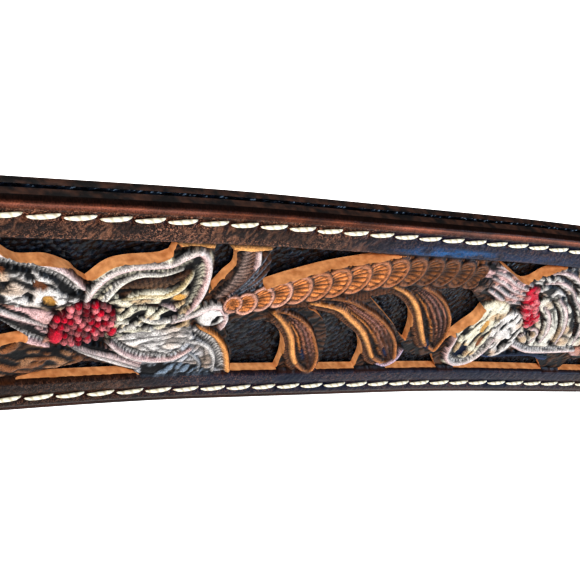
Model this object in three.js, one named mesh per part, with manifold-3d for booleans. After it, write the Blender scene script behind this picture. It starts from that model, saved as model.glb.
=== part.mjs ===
// Western tooled belt, fastened as a loop that stands on its lower edge.
// Millimetres, +Z up. The photographed stretch is on the -Y side, outer face outwards.
// The strap is drawn flat, as along (u) by height (v), and then bent round the loop's plan.
import * as THREE from 'three';
import { mergeVertices } from 'three/addons/utils/BufferGeometryUtils.js';
import Module from 'manifold-3d';

const wasm = await Module();
wasm.setup();

// Loop plan, measured on the strap's outer face
const BIG_BEND_RADIUS = 135;
const SMALL_BEND_RADIUS = 65;
const BEND_CENTRES_APART = 232;
const FRONT_DENT_DEPTH = 2;
const DENT_LEFT_SHOULDER = 62;
const DENT_RIGHT_SHOULDER = 70;
const DENT_LENGTH = 170;

// Strap
const BELT_WIDTH = 38;
const END_WIDTH = 26;
const FRONT_THICKNESS = 2.2;
const BACKING_THICKNESS = 1.3;
const LAYER_GAP = 0.3;
const FRONT_EDGE_INSET = 0.3;
const BORDER_WIDTH = 6.4;

// Tooling
const REPEAT_LENGTH = 140;
const REPEAT_COUNT = 6;
const PLAIN_START = 143;

// Plain ends
const START_TAPER_AT = 48;
const TAPER_LENGTH = 50;
const PLAIN_FINISH = 75;
const TURN_BACK_LENGTH = 45;
const TURN_BACK_CLOSE = 18;
const TIP_LENGTH = 80;
const TIP_POINT_LENGTH = 14;
const TIP_BLUNT_WIDTH = 8;
const LIFT_RUN = 66;
const BILLET_HOLE_SPACING = 25;
const BILLET_HOLE_RADIUS = 2.2;
const BILLET_HOLES_BEYOND = 2;
const BILLET_HOLES_BEFORE = 2;
const PRONG_HOLE_REACH = 4.4;

// Buckle
const BUCKLE_BAR = 3.4;
const BUCKLE_THICKNESS = 3.2;
const BUCKLE_REACH = 30;
const BUCKLE_SIDE_CLEARANCE = 1;
const BUCKLE_STRAP_CLEARANCE = 0.8;
const PRONG_RADIUS = 1.2;
const PRONG_HOLE_AT = 16;
const PRONG_OVERHANG = 3.5;

// Keeper
const KEEPER_WIDTH = 10;
const KEEPER_THICKNESS = 1.4;
const KEEPER_AT = 27;
const CLEARANCE = 0.3;

const CHORD_SAG = 0.15;
const LONGEST_STEP = 20;

// One repeat of the pierced panel. Each window is a list of [along, up]:
// along in 140ths of the repeat, up in hundredths of the panel between the borders.
const REPEAT_UNITS = 140;
const PANEL_UNITS = 100;
const WINDOWS = {
  above_left_petals: [[11.5, 100], [14.3, 92], [17.3, 85], [21, 85], [24.5, 80], [26, 75], [27.7, 71],
    [29.5, 81], [32, 85], [36.4, 87], [37.9, 90], [38, 100]],
  beside_scroll: [[43.5, 99], [44.8, 86], [45.7, 74], [46.7, 62], [47.7, 75.5], [48.5, 82.5], [48, 90],
    [46.7, 98]],
  above_stem: [[52.2, 100], [53.8, 86], [53.7, 76], [54.8, 70], [58.9, 78], [64.5, 87], [72, 95],
    [76.5, 100]],
  under_stem_first: [[51.8, 39.5], [54, 42.5], [58.9, 41.5], [61.2, 37.5], [63.2, 30], [64.6, 21.5],
    [65.6, 10.5], [66, 0], [57.2, 0], [56, 15], [54, 26]],
  under_stem_second: [[64.5, 53.5], [68, 51], [71, 46], [74, 40.5], [76.8, 33.5], [79.2, 24.5],
    [80.8, 14.5], [81.6, 0], [73.7, 0], [73, 14], [71.8, 28], [70.2, 39], [67.5, 48]],
  crescent: [[74.5, 66], [77.5, 66.5], [80, 65], [82.5, 61], [84.5, 55], [86.1, 49], [87.6, 39],
    [88.8, 25], [86.5, 31], [84.5, 38], [82, 45], [79.5, 52], [77, 58.5]],
  diamond: [[88.3, 73.5], [91, 76.5], [93.5, 77], [95, 73], [98.4, 64], [100.6, 58.5], [100.5, 49],
    [99, 39], [96.9, 22], [96.2, 32], [95.3, 43], [93.5, 54], [91.2, 64]],
  foot_first: [[88.2, 0], [88.6, 10], [89.2, 17], [92.5, 12.5], [95, 11.5], [96.8, 13], [97.8, 8],
    [99.8, 0]],
  foot_second: [[103.8, 0], [105.5, 7], [107.5, 11.5], [113.5, 14], [120, 15], [123, 10], [126, 0]],
  above_second_flower: [[95.5, 100], [100.5, 91.5], [104.5, 84], [106.7, 84], [108.6, 92], [111, 97],
    [113.5, 100]],
  left_of_flower: [[13.5, 44], [15, 54], [17, 49], [20, 40.5], [22.3, 35], [22.1, 31], [18, 28],
    [15, 32]],
  foot_of_flower: [[23.4, 0], [27, 6], [31.7, 11.5], [37, 7], [42, 0]],
  top_right: [[118, 100], [121, 92], [126, 86], [131, 88], [136, 94], [139, 100]],
  middle_right: [[127, 52], [128, 60], [133, 64], [138, 60], [139, 50], [135, 42], [130, 44]],
  foot_right: [[130.5, 0], [131.5, 12], [135, 19], [138.5, 14], [139.3, 0]],
  top_left: [[1, 100], [3, 90], [6, 87], [8.4, 92], [9, 100]],
  middle_left: [[2, 52], [6, 58], [10, 54], [9, 44], [4, 42]],
  foot_left: [[1.5, 0], [2, 14], [6, 22], [12, 18], [17, 10], [20, 0]],
};

const strapThickness = FRONT_THICKNESS + LAYER_GAP + BACKING_THICKNESS;
const liftHeight = strapThickness + CLEARANCE;
const foldInnerRadius = Math.hypot(BUCKLE_BAR, BUCKLE_THICKNESS) / 2 + CLEARANCE;
const foldRadius = foldInnerRadius + strapThickness;
const bendDifference = BIG_BEND_RADIUS - SMALL_BEND_RADIUS;
const frontRun = Math.sqrt(BEND_CENTRES_APART ** 2 - bendDifference ** 2);
const backTilt = 2 * Math.asin(bendDifference / BEND_CENTRES_APART);
const smallBendRun = SMALL_BEND_RADIUS * (Math.PI - backTilt);
const bigBendRun = BIG_BEND_RADIUS * (Math.PI + backTilt);
const halfBack = frontRun / 2;
const loopLength = 2 * frontRun + smallBendRun + bigBendRun;
const plainFinishAt = loopLength - PLAIN_FINISH;

function smooth(t) {
  const x = Math.min(Math.max(t, 0), 1);
  return x * x * (3 - 2 * x);
}

function frontDent(x) {
  const left = smooth(x / DENT_LEFT_SHOULDER);
  const right = smooth((DENT_LENGTH - x) / DENT_RIGHT_SHOULDER);
  return FRONT_DENT_DEPTH * left * right;
}

// Point and heading of the outer face. Travel is anticlockwise from the buckle's bar, at the middle of
// the back run: rest of the back, small bend, front, big bend, back again.
function loopPlan(travel) {
  const s = ((travel % loopLength) + loopLength) % loopLength;
  const backHeading = Math.PI + backTilt;
  const backNormal = new THREE.Vector2(-Math.sin(backTilt), Math.cos(backTilt));
  const smallCentre = new THREE.Vector2(0, SMALL_BEND_RADIUS);
  const bigCentre = new THREE.Vector2(frontRun, BIG_BEND_RADIUS);
  const backDirection = new THREE.Vector2(Math.cos(backHeading), Math.sin(backHeading));
  const bendPoint = (centre, radius, heading) => new THREE.Vector2(
    centre.x + radius * Math.sin(heading),
    centre.y - radius * Math.cos(heading),
  );
  if (s < halfBack) {
    const start = smallCentre.clone().addScaledVector(backNormal, SMALL_BEND_RADIUS);
    return { at: start.addScaledVector(backDirection, s - halfBack), heading: backHeading };
  }
  if (s < halfBack + smallBendRun) {
    const heading = backHeading + (s - halfBack) / SMALL_BEND_RADIUS;
    return { at: bendPoint(smallCentre, SMALL_BEND_RADIUS, heading), heading };
  }
  const x = s - halfBack - smallBendRun;
  if (x < frontRun) {
    const step = 0.01;
    const slope = (frontDent(x + step) - frontDent(x - step)) / (2 * step);
    return { at: new THREE.Vector2(x, frontDent(x)), heading: Math.atan(slope) };
  }
  if (x < frontRun + bigBendRun) {
    const heading = (x - frontRun) / BIG_BEND_RADIUS;
    return { at: bendPoint(bigCentre, BIG_BEND_RADIUS, heading), heading };
  }
  const start = bigCentre.clone().addScaledVector(backNormal, BIG_BEND_RADIUS);
  return { at: start.addScaledVector(backDirection, x - frontRun - bigBendRun), heading: backHeading };
}

// The plan's point moved out of the loop by a distance, or into it by a negative one
function offsetPlan(travel, out) {
  const { at, heading } = loopPlan(travel);
  return new THREE.Vector2(at.x + Math.sin(heading) * out, at.y - Math.cos(heading) * out);
}

// How far the arriving end has risen off the loop, to pass over the buckle's bar and the other end
function lift(s) {
  return liftHeight * smooth((s - (loopLength - LIFT_RUN)) / (LIFT_RUN - foldRadius / 2));
}

function turnBackDepth(s) {
  const open = 2 * foldRadius;
  const closed = 2 * (strapThickness + CLEARANCE);
  return THREE.MathUtils.lerp(open, closed, smooth(s / TURN_BACK_CLOSE));
}

function evenSteps(from, to, radius) {
  const step = Math.min(Math.sqrt(8 * radius * CHORD_SAG), LONGEST_STEP);
  const count = Math.max(1, Math.ceil((to - from) / step));
  return Array.from({ length: count }, (_, i) => from + (to - from) * i / count);
}

// Stations of the strap's outer face, from the end that is turned back inside, round the bar and the
// loop, to the tip. u is the length along the strap, 0 where it leaves the bar.
function strapStations() {
  const stations = [];
  const foldLength = Math.PI * foldRadius;
  const closing = [1, 0.6, 0.25].map((share) => TURN_BACK_CLOSE * share);
  [TURN_BACK_LENGTH, ...closing].forEach((back) => {
    stations.push({ u: -foldLength - back, at: offsetPlan(back, -turnBackDepth(back)) });
  });
  const foldSteps = 8;
  const centre = offsetPlan(0, -foldRadius);
  const { heading } = loopPlan(0);
  for (let i = 0; i < foldSteps; i += 1) {
    const turn = heading + Math.PI + Math.PI * i / foldSteps;
    const at = new THREE.Vector2(
      centre.x + foldRadius * Math.sin(turn),
      centre.y - foldRadius * Math.cos(turn),
    );
    stations.push({ u: -foldLength * (1 - i / foldSteps), at });
  }
  const liftStart = loopLength - LIFT_RUN;
  const dentRadius = DENT_LEFT_SHOULDER ** 2 / (6 * FRONT_DENT_DEPTH);
  const liftRadius = LIFT_RUN ** 2 / (6 * liftHeight);
  const frontStart = halfBack + smallBendRun;
  const bigStart = frontStart + frontRun;
  const runs = [
    ...evenSteps(0, halfBack, Infinity),
    ...evenSteps(halfBack, frontStart, SMALL_BEND_RADIUS),
    ...evenSteps(frontStart, bigStart, dentRadius),
    ...evenSteps(bigStart, bigStart + bigBendRun, BIG_BEND_RADIUS),
    ...evenSteps(bigStart + bigBendRun, liftStart, Infinity),
    ...evenSteps(liftStart, loopLength, liftRadius),
    ...evenSteps(loopLength, loopLength + TIP_LENGTH, Infinity),
    loopLength + TIP_LENGTH,
  ];
  runs.forEach((s) => stations.push({ u: s, at: offsetPlan(s, lift(s)) }));
  return withMitres(stations);
}

// Adds to each station the direction that crosses the strap there, long enough for each flat stretch
// beside it to keep its full thickness
function withMitres(stations) {
  const inward = (a, b) => {
    const along = new THREE.Vector2().subVectors(b.at, a.at).normalize();
    return new THREE.Vector2(-along.y, along.x);
  };
  return stations.map((station, i) => {
    const before = i > 0 ? inward(stations[i - 1], station) : inward(station, stations[i + 1]);
    const after = i < stations.length - 1 ? inward(station, stations[i + 1]) : before;
    const mitre = new THREE.Vector2().addVectors(before, after);
    mitre.divideScalar(mitre.dot(before));
    return { ...station, mitre };
  });
}

function halfWidth(u) {
  const start = smooth((u - START_TAPER_AT) / TAPER_LENGTH);
  const finish = smooth((plainFinishAt - u) / TAPER_LENGTH);
  const body = THREE.MathUtils.lerp(END_WIDTH, BELT_WIDTH, start * finish) / 2;
  const toEnd = loopLength + TIP_LENGTH - u;
  if (toEnd >= TIP_POINT_LENGTH) return body;
  const share = Math.sin(Math.acos(1 - toEnd / TIP_POINT_LENGTH));
  return THREE.MathUtils.lerp(TIP_BLUNT_WIDTH / 2, body, share);
}

function ellipse(u, v, reachU, reachV, sides = 10) {
  return Array.from({ length: sides }, (_, i) => {
    const turn = 2 * Math.PI * (i + 0.5) / sides;
    return new THREE.Vector2(u + reachU * Math.cos(turn), v + reachV * Math.sin(turn));
  });
}

// Holes through both layers: the prong's slot in the fold, its own hole and the spare ones
function strapHoles() {
  const middle = BELT_WIDTH / 2;
  const slotHalf = PRONG_RADIUS + CLEARANCE * 3;
  const foldLength = Math.PI * foldRadius;
  const slot = [[-0.74, -1], [-0.05, -1], [-0.05, 1], [-0.74, 1]]
    .map(([along, up]) => new THREE.Vector2(foldLength * along, middle + slotHalf * up));
  const prongHole = loopLength - PRONG_HOLE_AT;
  const holes = [slot, ellipse(prongHole, middle, PRONG_HOLE_REACH, BILLET_HOLE_RADIUS)];
  for (let i = -BILLET_HOLES_BEFORE; i <= BILLET_HOLES_BEYOND; i += 1) {
    if (i !== 0) {
      const u = prongHole + i * BILLET_HOLE_SPACING;
      holes.push(ellipse(u, middle, BILLET_HOLE_RADIUS, BILLET_HOLE_RADIUS));
    }
  }
  return holes;
}

function tooledWindows() {
  const panel = BELT_WIDTH - 2 * BORDER_WIDTH;
  const windows = [];
  for (let i = 0; i < REPEAT_COUNT; i += 1) {
    const start = PLAIN_START + i * REPEAT_LENGTH;
    Object.values(WINDOWS).forEach((outline) => windows.push(outline.map(([along, up]) => new THREE.Vector2(
      start + along * REPEAT_LENGTH / REPEAT_UNITS,
      BORDER_WIDTH + up * panel / PANEL_UNITS,
    ))));
  }
  return windows;
}

function toManifold(geometry) {
  const bare = geometry.index ? geometry.toNonIndexed() : geometry.clone();
  bare.deleteAttribute('normal');
  bare.deleteAttribute('uv');
  const merged = mergeVertices(bare, 1e-4);
  return new wasm.Manifold(new wasm.Mesh({
    numProp: 3,
    vertProperties: new Float32Array(merged.attributes.position.array),
    triVerts: new Uint32Array(merged.index.array),
  }));
}

function toGeometry(solid) {
  const mesh = solid.getMesh();
  const geometry = new THREE.BufferGeometry();
  geometry.setAttribute('position', new THREE.BufferAttribute(new Float32Array(mesh.vertProperties), 3));
  geometry.setIndex(new THREE.BufferAttribute(new Uint32Array(mesh.triVerts), 1));
  geometry.computeVertexNormals();
  return geometry;
}

// The strap as a flat sheet one unit thick, with its windows and holes
function flatSheet(stations, inset, holes) {
  const middle = BELT_WIDTH / 2;
  const lower = stations.map(({ u }) => new THREE.Vector2(u, middle - halfWidth(u) + inset));
  const upper = stations.map(({ u }) => new THREE.Vector2(u, middle + halfWidth(u) - inset)).reverse();
  const prism = (points, depth) => new THREE.ExtrudeGeometry(new THREE.Shape(points), {
    depth, bevelEnabled: false,
  });
  const sheet = toManifold(prism([...lower, ...upper], 1));
  return holes.reduce((rest, points) => {
    const cutter = prism(points, 3);
    cutter.translate(0, 0, -1);
    return rest.subtract(toManifold(cutter));
  }, sheet);
}

// Cuts the flat sheet at every station, keeps its top face, and stands it along the plan as a solid
// between two depths behind the outer face
function bendSheet(sheet, stations, outerDepth, innerDepth) {
  const flat = [];
  const faces = [];
  const near = 1e-3;
  const onLine = stations.map(() => []);
  const addCorner = (u, v) => flat.push([u, v]) - 1;
  // Corners on a station's line are shared with the stretch beyond it
  const lineCorner = (line, v) => {
    let found = onLine[line].find((corner) => Math.abs(corner.v - v) < near);
    if (!found) {
      found = { v, index: addCorner(stations[line].u, v) };
      onLine[line].push(found);
    }
    return found.index;
  };
  for (let i = 0; i < stations.length - 1; i += 1) {
    const from = stations[i].u;
    const to = stations[i + 1].u;
    const box = new THREE.BoxGeometry(to - from, 2 * BELT_WIDTH, 3);
    box.translate((from + to) / 2, BELT_WIDTH / 2, 0.5);
    const mesh = sheet.intersect(toManifold(box)).getMesh();
    const known = new Map();
    const cornerOf = (index) => {
      if (!known.has(index)) {
        const [u, v] = mesh.vertProperties.slice(index * 3, index * 3 + 2);
        const line = [i, i + 1].find((end) => Math.abs(stations[end].u - u) < near);
        known.set(index, line === undefined ? addCorner(u, v) : lineCorner(line, v));
      }
      return known.get(index);
    };
    for (let t = 0; t < mesh.triVerts.length; t += 3) {
      const face = mesh.triVerts.slice(t, t + 3);
      if (face.every((index) => mesh.vertProperties[index * 3 + 2] > 0.5)) {
        faces.push(Array.from(face, cornerOf));
      }
    }
  }
  // A face with an edge on a station's line is split where the stretch beyond has a corner on that edge
  const lineOf = new Map(onLine.flatMap((list, line) => list.map(({ index }) => [index, line])));
  const split = ([a, b, c]) => {
    const turns = [[a, b, c], [b, c, a], [c, a, b]];
    const turned = turns.find(([p, q]) => lineOf.has(p) && lineOf.get(p) === lineOf.get(q));
    if (!turned) return [[a, b, c]];
    const [p, q, far] = turned;
    const [start, end] = [flat[p][1], flat[q][1]];
    const between = onLine[lineOf.get(p)]
      .map(({ v, index }) => ({ share: (v - start) / (end - start), index }))
      .filter(({ share, index }) => share > 0 && share < 1 && index !== p && index !== q)
      .sort((first, second) => first.share - second.share)
      .map(({ index }) => index);
    const edge = [p, ...between, q];
    return edge.slice(1).map((corner, k) => [edge[k], corner, far]);
  };
  const real = faces.filter(([a, b, c]) => a !== b && b !== c && c !== a).flatMap(split);
  const place = ([u, v], depth) => {
    let i = stations.findIndex((station) => station.u >= u - 1e-6) - 1;
    i = Math.min(Math.max(i, 0), stations.length - 2);
    const share = (u - stations[i].u) / (stations[i + 1].u - stations[i].u);
    const ends = [stations[i], stations[i + 1]].map(({ at, mitre }) => at.clone().addScaledVector(mitre, depth));
    const point = ends[0].lerp(ends[1], share);
    return [point.x, point.y, v];
  };
  const count = flat.length;
  const positions = [
    ...flat.flatMap((corner) => place(corner, outerDepth)),
    ...flat.flatMap((corner) => place(corner, innerDepth)),
  ];
  const triangles = [];
  const open = new Map();
  real.forEach(([a, b, c]) => {
    triangles.push(a, b, c, a + count, c + count, b + count);
    [[a, b], [b, c], [c, a]].forEach(([p, q]) => {
      if (!open.delete(`${q},${p}`)) open.set(`${p},${q}`, [p, q]);
    });
  });
  open.forEach(([p, q]) => triangles.push(p, p + count, q + count, p, q + count, q));
  const geometry = new THREE.BufferGeometry();
  geometry.setAttribute('position', new THREE.Float32BufferAttribute(positions, 3));
  geometry.setIndex(triangles);
  geometry.computeVertexNormals();
  return geometry;
}

const stations = strapStations();
const holes = strapHoles();

function tooledFrontStrap() {
  const sheet = flatSheet(stations, FRONT_EDGE_INSET, [...holes, ...tooledWindows()]);
  return bendSheet(sheet, stations, 0, FRONT_THICKNESS);
}

function pebbledBackingStrap() {
  const sheet = flatSheet(stations, 0, holes);
  return bendSheet(sheet, stations, FRONT_THICKNESS + LAYER_GAP, strapThickness);
}

// Frame at the buckle's bar: X out of the loop, Y up, Z along the strap's travel
function barFrame(travel) {
  const { at, heading } = loopPlan(travel);
  const out = new THREE.Vector3(Math.sin(heading), -Math.cos(heading), 0);
  const up = new THREE.Vector3(0, 0, 1);
  const along = new THREE.Vector3(Math.cos(heading), Math.sin(heading), 0);
  const frame = new THREE.Matrix4().makeBasis(out, up, new THREE.Vector3().crossVectors(out, up));
  frame.setPosition(at.x, at.y, BELT_WIDTH / 2);
  return { frame, sign: Math.sign(new THREE.Vector3().crossVectors(out, up).dot(along)) };
}

function rectangle(left, bottom, right, top) {
  return [[left, bottom], [right, bottom], [right, top], [left, top]]
    .map(([x, y]) => new THREE.Vector2(x, y));
}

function plainBuckle() {
  const { frame, sign } = barFrame(0);
  const halfInner = END_WIDTH / 2 + BUCKLE_SIDE_CLEARANCE;
  const halfOuter = halfInner + BUCKLE_BAR;
  const endLevel = lift(loopLength - BUCKLE_REACH) + BUCKLE_STRAP_CLEARANCE
    + Math.hypot(BUCKLE_BAR, BUCKLE_THICKNESS) / 2;
  const rise = Math.asin((endLevel + foldRadius) / BUCKLE_REACH);
  const ring = new THREE.Shape(rectangle(-BUCKLE_BAR / 2, -halfOuter, BUCKLE_REACH + BUCKLE_BAR / 2, halfOuter));
  const innerRight = BUCKLE_REACH - BUCKLE_BAR / 2;
  ring.holes = [new THREE.Path(rectangle(BUCKLE_BAR / 2, -halfInner, innerRight, halfInner))];
  const ringGeometry = new THREE.ExtrudeGeometry(ring, { depth: BUCKLE_THICKNESS, bevelEnabled: false });
  ringGeometry.translate(0, 0, -BUCKLE_THICKNESS / 2);
  // The ring is drawn reaching along X; it is turned to reach back against the travel and out
  const reach = new THREE.Vector3(Math.sin(rise), 0, -sign * Math.cos(rise));
  const up = new THREE.Vector3(0, 1, 0);
  const turn = new THREE.Matrix4().makeBasis(reach, up, new THREE.Vector3().crossVectors(reach, up));
  turn.setPosition(-foldRadius, 0, 0);
  ringGeometry.applyMatrix4(turn);
  const endBar = { back: BUCKLE_REACH * Math.cos(rise), out: endLevel };
  const top = BUCKLE_THICKNESS / 2 + PRONG_RADIUS;
  const route = [
    { back: 0, out: -foldRadius },
    { back: PRONG_HOLE_AT * 0.55, out: -foldRadius * 0.75 },
    { back: PRONG_HOLE_AT - 1.5, out: -1.6 },
    { back: PRONG_HOLE_AT + 1.5, out: liftHeight - 0.2 },
    { back: PRONG_HOLE_AT + 5, out: endBar.out + top - 0.6 },
    { back: endBar.back, out: endBar.out + top + 0.5 },
    { back: endBar.back + PRONG_OVERHANG, out: endBar.out + top },
  ].map(({ back, out }) => new THREE.Vector3(out, 0, -sign * back));
  const section = new THREE.Shape(ellipse(0, 0, PRONG_RADIUS, PRONG_RADIUS, 8));
  const prong = new THREE.ExtrudeGeometry(section, {
    steps: 18, bevelEnabled: false, extrudePath: new THREE.CatmullRomCurve3(route),
  });
  const solid = toManifold(ringGeometry).add(toManifold(prong));
  const geometry = toGeometry(solid);
  geometry.applyMatrix4(frame);
  return geometry;
}

function plainKeeper() {
  const { frame } = barFrame(KEEPER_AT);
  const inside = -turnBackDepth(KEEPER_AT) - CLEARANCE;
  const outside = liftHeight + CLEARANCE;
  const half = END_WIDTH / 2 + CLEARANCE;
  const shape = new THREE.Shape(rectangle(
    inside - KEEPER_THICKNESS,
    -half - KEEPER_THICKNESS,
    outside + KEEPER_THICKNESS,
    half + KEEPER_THICKNESS,
  ));
  shape.holes = [new THREE.Path(rectangle(inside, -half, outside, half))];
  const geometry = new THREE.ExtrudeGeometry(shape, { depth: KEEPER_WIDTH, bevelEnabled: false });
  geometry.translate(0, 0, -KEEPER_WIDTH / 2);
  geometry.applyMatrix4(frame);
  return geometry;
}

const materials = {
  tooled: new THREE.MeshStandardMaterial({ color: 0x5a3a2a, roughness: 0.5, metalness: 0 }),
  backing: new THREE.MeshStandardMaterial({ color: 0x14141a, roughness: 0.6, metalness: 0 }),
  buckle: new THREE.MeshStandardMaterial({ color: 0xb8b8b4, roughness: 0.3, metalness: 1 }),
  keeper: new THREE.MeshStandardMaterial({ color: 0x2d1c14, roughness: 0.5, metalness: 0 }),
};

function named(name, geometry, material) {
  const mesh = new THREE.Mesh(geometry, material);
  mesh.name = name;
  return mesh;
}

const belt = new THREE.Group();
belt.add(named('tooled_front_strap', tooledFrontStrap(), materials.tooled));
belt.add(named('pebbled_backing_strap', pebbledBackingStrap(), materials.backing));
belt.add(named('plain_buckle', plainBuckle(), materials.buckle));
belt.add(named('plain_keeper', plainKeeper(), materials.keeper));

// The origin is under the middle of the loop, on the surface that it stands on
const extent = new THREE.Box3().setFromObject(belt);
const centre = extent.getCenter(new THREE.Vector3());
belt.children.forEach((mesh) => mesh.geometry.translate(-centre.x, -centre.y, 0));

export default belt;
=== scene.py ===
import math
import bpy
import numpy as np
from mathutils import Matrix, Vector


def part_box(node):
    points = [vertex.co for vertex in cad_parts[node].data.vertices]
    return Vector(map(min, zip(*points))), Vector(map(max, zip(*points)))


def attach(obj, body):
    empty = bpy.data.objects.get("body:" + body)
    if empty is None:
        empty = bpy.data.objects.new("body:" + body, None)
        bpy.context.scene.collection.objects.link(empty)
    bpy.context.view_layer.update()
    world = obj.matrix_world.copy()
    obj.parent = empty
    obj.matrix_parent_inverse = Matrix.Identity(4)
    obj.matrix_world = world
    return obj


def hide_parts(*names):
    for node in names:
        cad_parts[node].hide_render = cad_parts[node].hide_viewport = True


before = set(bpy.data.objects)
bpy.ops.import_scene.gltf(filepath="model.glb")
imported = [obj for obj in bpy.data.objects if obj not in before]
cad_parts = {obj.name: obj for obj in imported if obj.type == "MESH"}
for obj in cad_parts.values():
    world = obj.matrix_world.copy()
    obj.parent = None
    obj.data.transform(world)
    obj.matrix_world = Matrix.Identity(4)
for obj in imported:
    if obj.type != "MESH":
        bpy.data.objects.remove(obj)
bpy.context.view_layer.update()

# Camera and floor. The belt stands on its lower edge on a white sheet, lit softly from all round and
# from above. The camera looks down on it from the left, close in, as the photograph does.
CAMERA_PLACE = Vector((-170.06, -224.86, 110.95))
CAMERA_RIGHT = Vector((0.8097, -0.4010, 0.4284))
CAMERA_DOWN = Vector((0.0292, -0.7016, -0.7120))
CAMERA_AHEAD = Vector((0.5861, 0.5891, -0.5564))
SENSOR_WIDTH = 36.0
PHOTO_SIDE = 580
FOCUS_IN_PIXELS = 1100
MM = 0.001

lens = bpy.data.cameras.new("photo_camera")
lens.sensor_width = SENSOR_WIDTH
lens.lens = FOCUS_IN_PIXELS / PHOTO_SIDE * SENSOR_WIDTH
lens.clip_start = 0.01
camera = bpy.data.objects.new("photo_camera", lens)
bpy.context.scene.collection.objects.link(camera)
turn = Matrix((CAMERA_RIGHT, -CAMERA_DOWN, -CAMERA_AHEAD)).transposed().to_4x4()
camera.matrix_world = Matrix.Translation(CAMERA_PLACE * MM) @ turn
bpy.context.scene.camera = camera


def deselect():
    if bpy.context.mode != "OBJECT":
        bpy.ops.object.mode_set(mode="OBJECT")
    bpy.ops.object.select_all(action="DESELECT")


def new_material(name):
    material = bpy.data.materials.new(name)
    material.use_nodes = True
    nodes = material.node_tree.nodes
    return material, nodes, material.node_tree.links, nodes["Principled BSDF"]


def white_sheet():
    deselect()
    bpy.ops.mesh.primitive_plane_add(size=6, location=(0, 0, -0.00015))
    floor = bpy.context.object
    floor.name = "white_sheet"
    material, _, _, surface = new_material("white_sheet")
    surface.inputs["Base Color"].default_value = (0.93, 0.93, 0.93, 1)
    surface.inputs["Roughness"].default_value = 0.9
    surface.inputs["Specular IOR Level"].default_value = 0.1
    surface.inputs["Emission Color"].default_value = (1, 1, 1, 1)
    surface.inputs["Emission Strength"].default_value = 0.8
    floor.data.materials.append(material)


def soft_light(name, place, target, size, power, tone=(1, 1, 1)):
    lamp = bpy.data.lights.new(name, "AREA")
    lamp.shape = "SQUARE"
    lamp.size = size
    lamp.energy = power
    lamp.color = tone
    holder = bpy.data.objects.new(name, lamp)
    bpy.context.scene.collection.objects.link(holder)
    holder.location = place
    holder.rotation_euler = (Vector(target) - Vector(place)).to_track_quat("-Z", "Y").to_euler()


white_sheet()
soft_light("key_light", (-0.55, -0.75, 0.70), (-0.08, -0.13, 0.02), 0.25, 8)
soft_light("side_light", (0.60, -0.60, 0.16), (0.0, -0.13, 0.02), 0.3, 2.2, (0.55, 0.75, 1.0))
soft_light("top_light", (0.1, 0.35, 0.9), (0, 0, 0), 0.5, 3.5)
world = bpy.data.worlds.new("studio")
world.use_nodes = True
world.node_tree.nodes["Background"].inputs["Color"].default_value = (1, 1, 1, 1)
world.node_tree.nodes["Background"].inputs["Strength"].default_value = 0.14
bpy.context.scene.world = world
bpy.context.scene.view_settings.view_transform = "Standard"
bpy.context.scene.view_settings.look = "High Contrast"

# The strap's plan and its drawing board. The belt is leather cut flat, tooled, painted, and then bent
# round: the same plan as the solids, drawn as travel along it, height across it and depth behind its face.
BIG_BEND_RADIUS = 135
SMALL_BEND_RADIUS = 65
BEND_CENTRES_APART = 232
FRONT_DENT_DEPTH = 2
DENT_LEFT_SHOULDER = 62
DENT_RIGHT_SHOULDER = 70
DENT_LENGTH = 170
BELT_WIDTH = 38
END_WIDTH = 26
FRONT_THICKNESS = 2.2
BACKING_THICKNESS = 1.3
LAYER_GAP = 0.3
FRONT_EDGE_INSET = 0.3
BORDER_WIDTH = 6.4
REPEAT_LENGTH = 140
REPEAT_COUNT = 6
PLAIN_START = 143
START_TAPER_AT = 48
TAPER_LENGTH = 50
PLAIN_FINISH = 75
TURN_BACK_LENGTH = 45
TURN_BACK_CLOSE = 18
TIP_LENGTH = 80
TIP_POINT_LENGTH = 14
TIP_BLUNT_WIDTH = 8
LIFT_RUN = 66
CLEARANCE = 0.3
BUCKLE_BAR = 3.4
BUCKLE_THICKNESS = 3.2

strap_thickness = FRONT_THICKNESS + LAYER_GAP + BACKING_THICKNESS
lift_height = strap_thickness + CLEARANCE
fold_radius = math.hypot(BUCKLE_BAR, BUCKLE_THICKNESS) / 2 + CLEARANCE + strap_thickness
fold_length = math.pi * fold_radius
bend_difference = BIG_BEND_RADIUS - SMALL_BEND_RADIUS
front_run = math.sqrt(BEND_CENTRES_APART ** 2 - bend_difference ** 2)
back_tilt = 2 * math.asin(bend_difference / BEND_CENTRES_APART)
small_bend_run = SMALL_BEND_RADIUS * (math.pi - back_tilt)
big_bend_run = BIG_BEND_RADIUS * (math.pi + back_tilt)
half_back = front_run / 2
front_start = half_back + small_bend_run
loop_length = 2 * front_run + small_bend_run + big_bend_run
strap_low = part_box("tooled_front_strap")[0]
plan_shift = np.array([strap_low[0] / MM + SMALL_BEND_RADIUS, strap_low[1] / MM])


def smooth(t):
    t = np.clip(t, 0, 1)
    return t * t * (3 - 2 * t)


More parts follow.
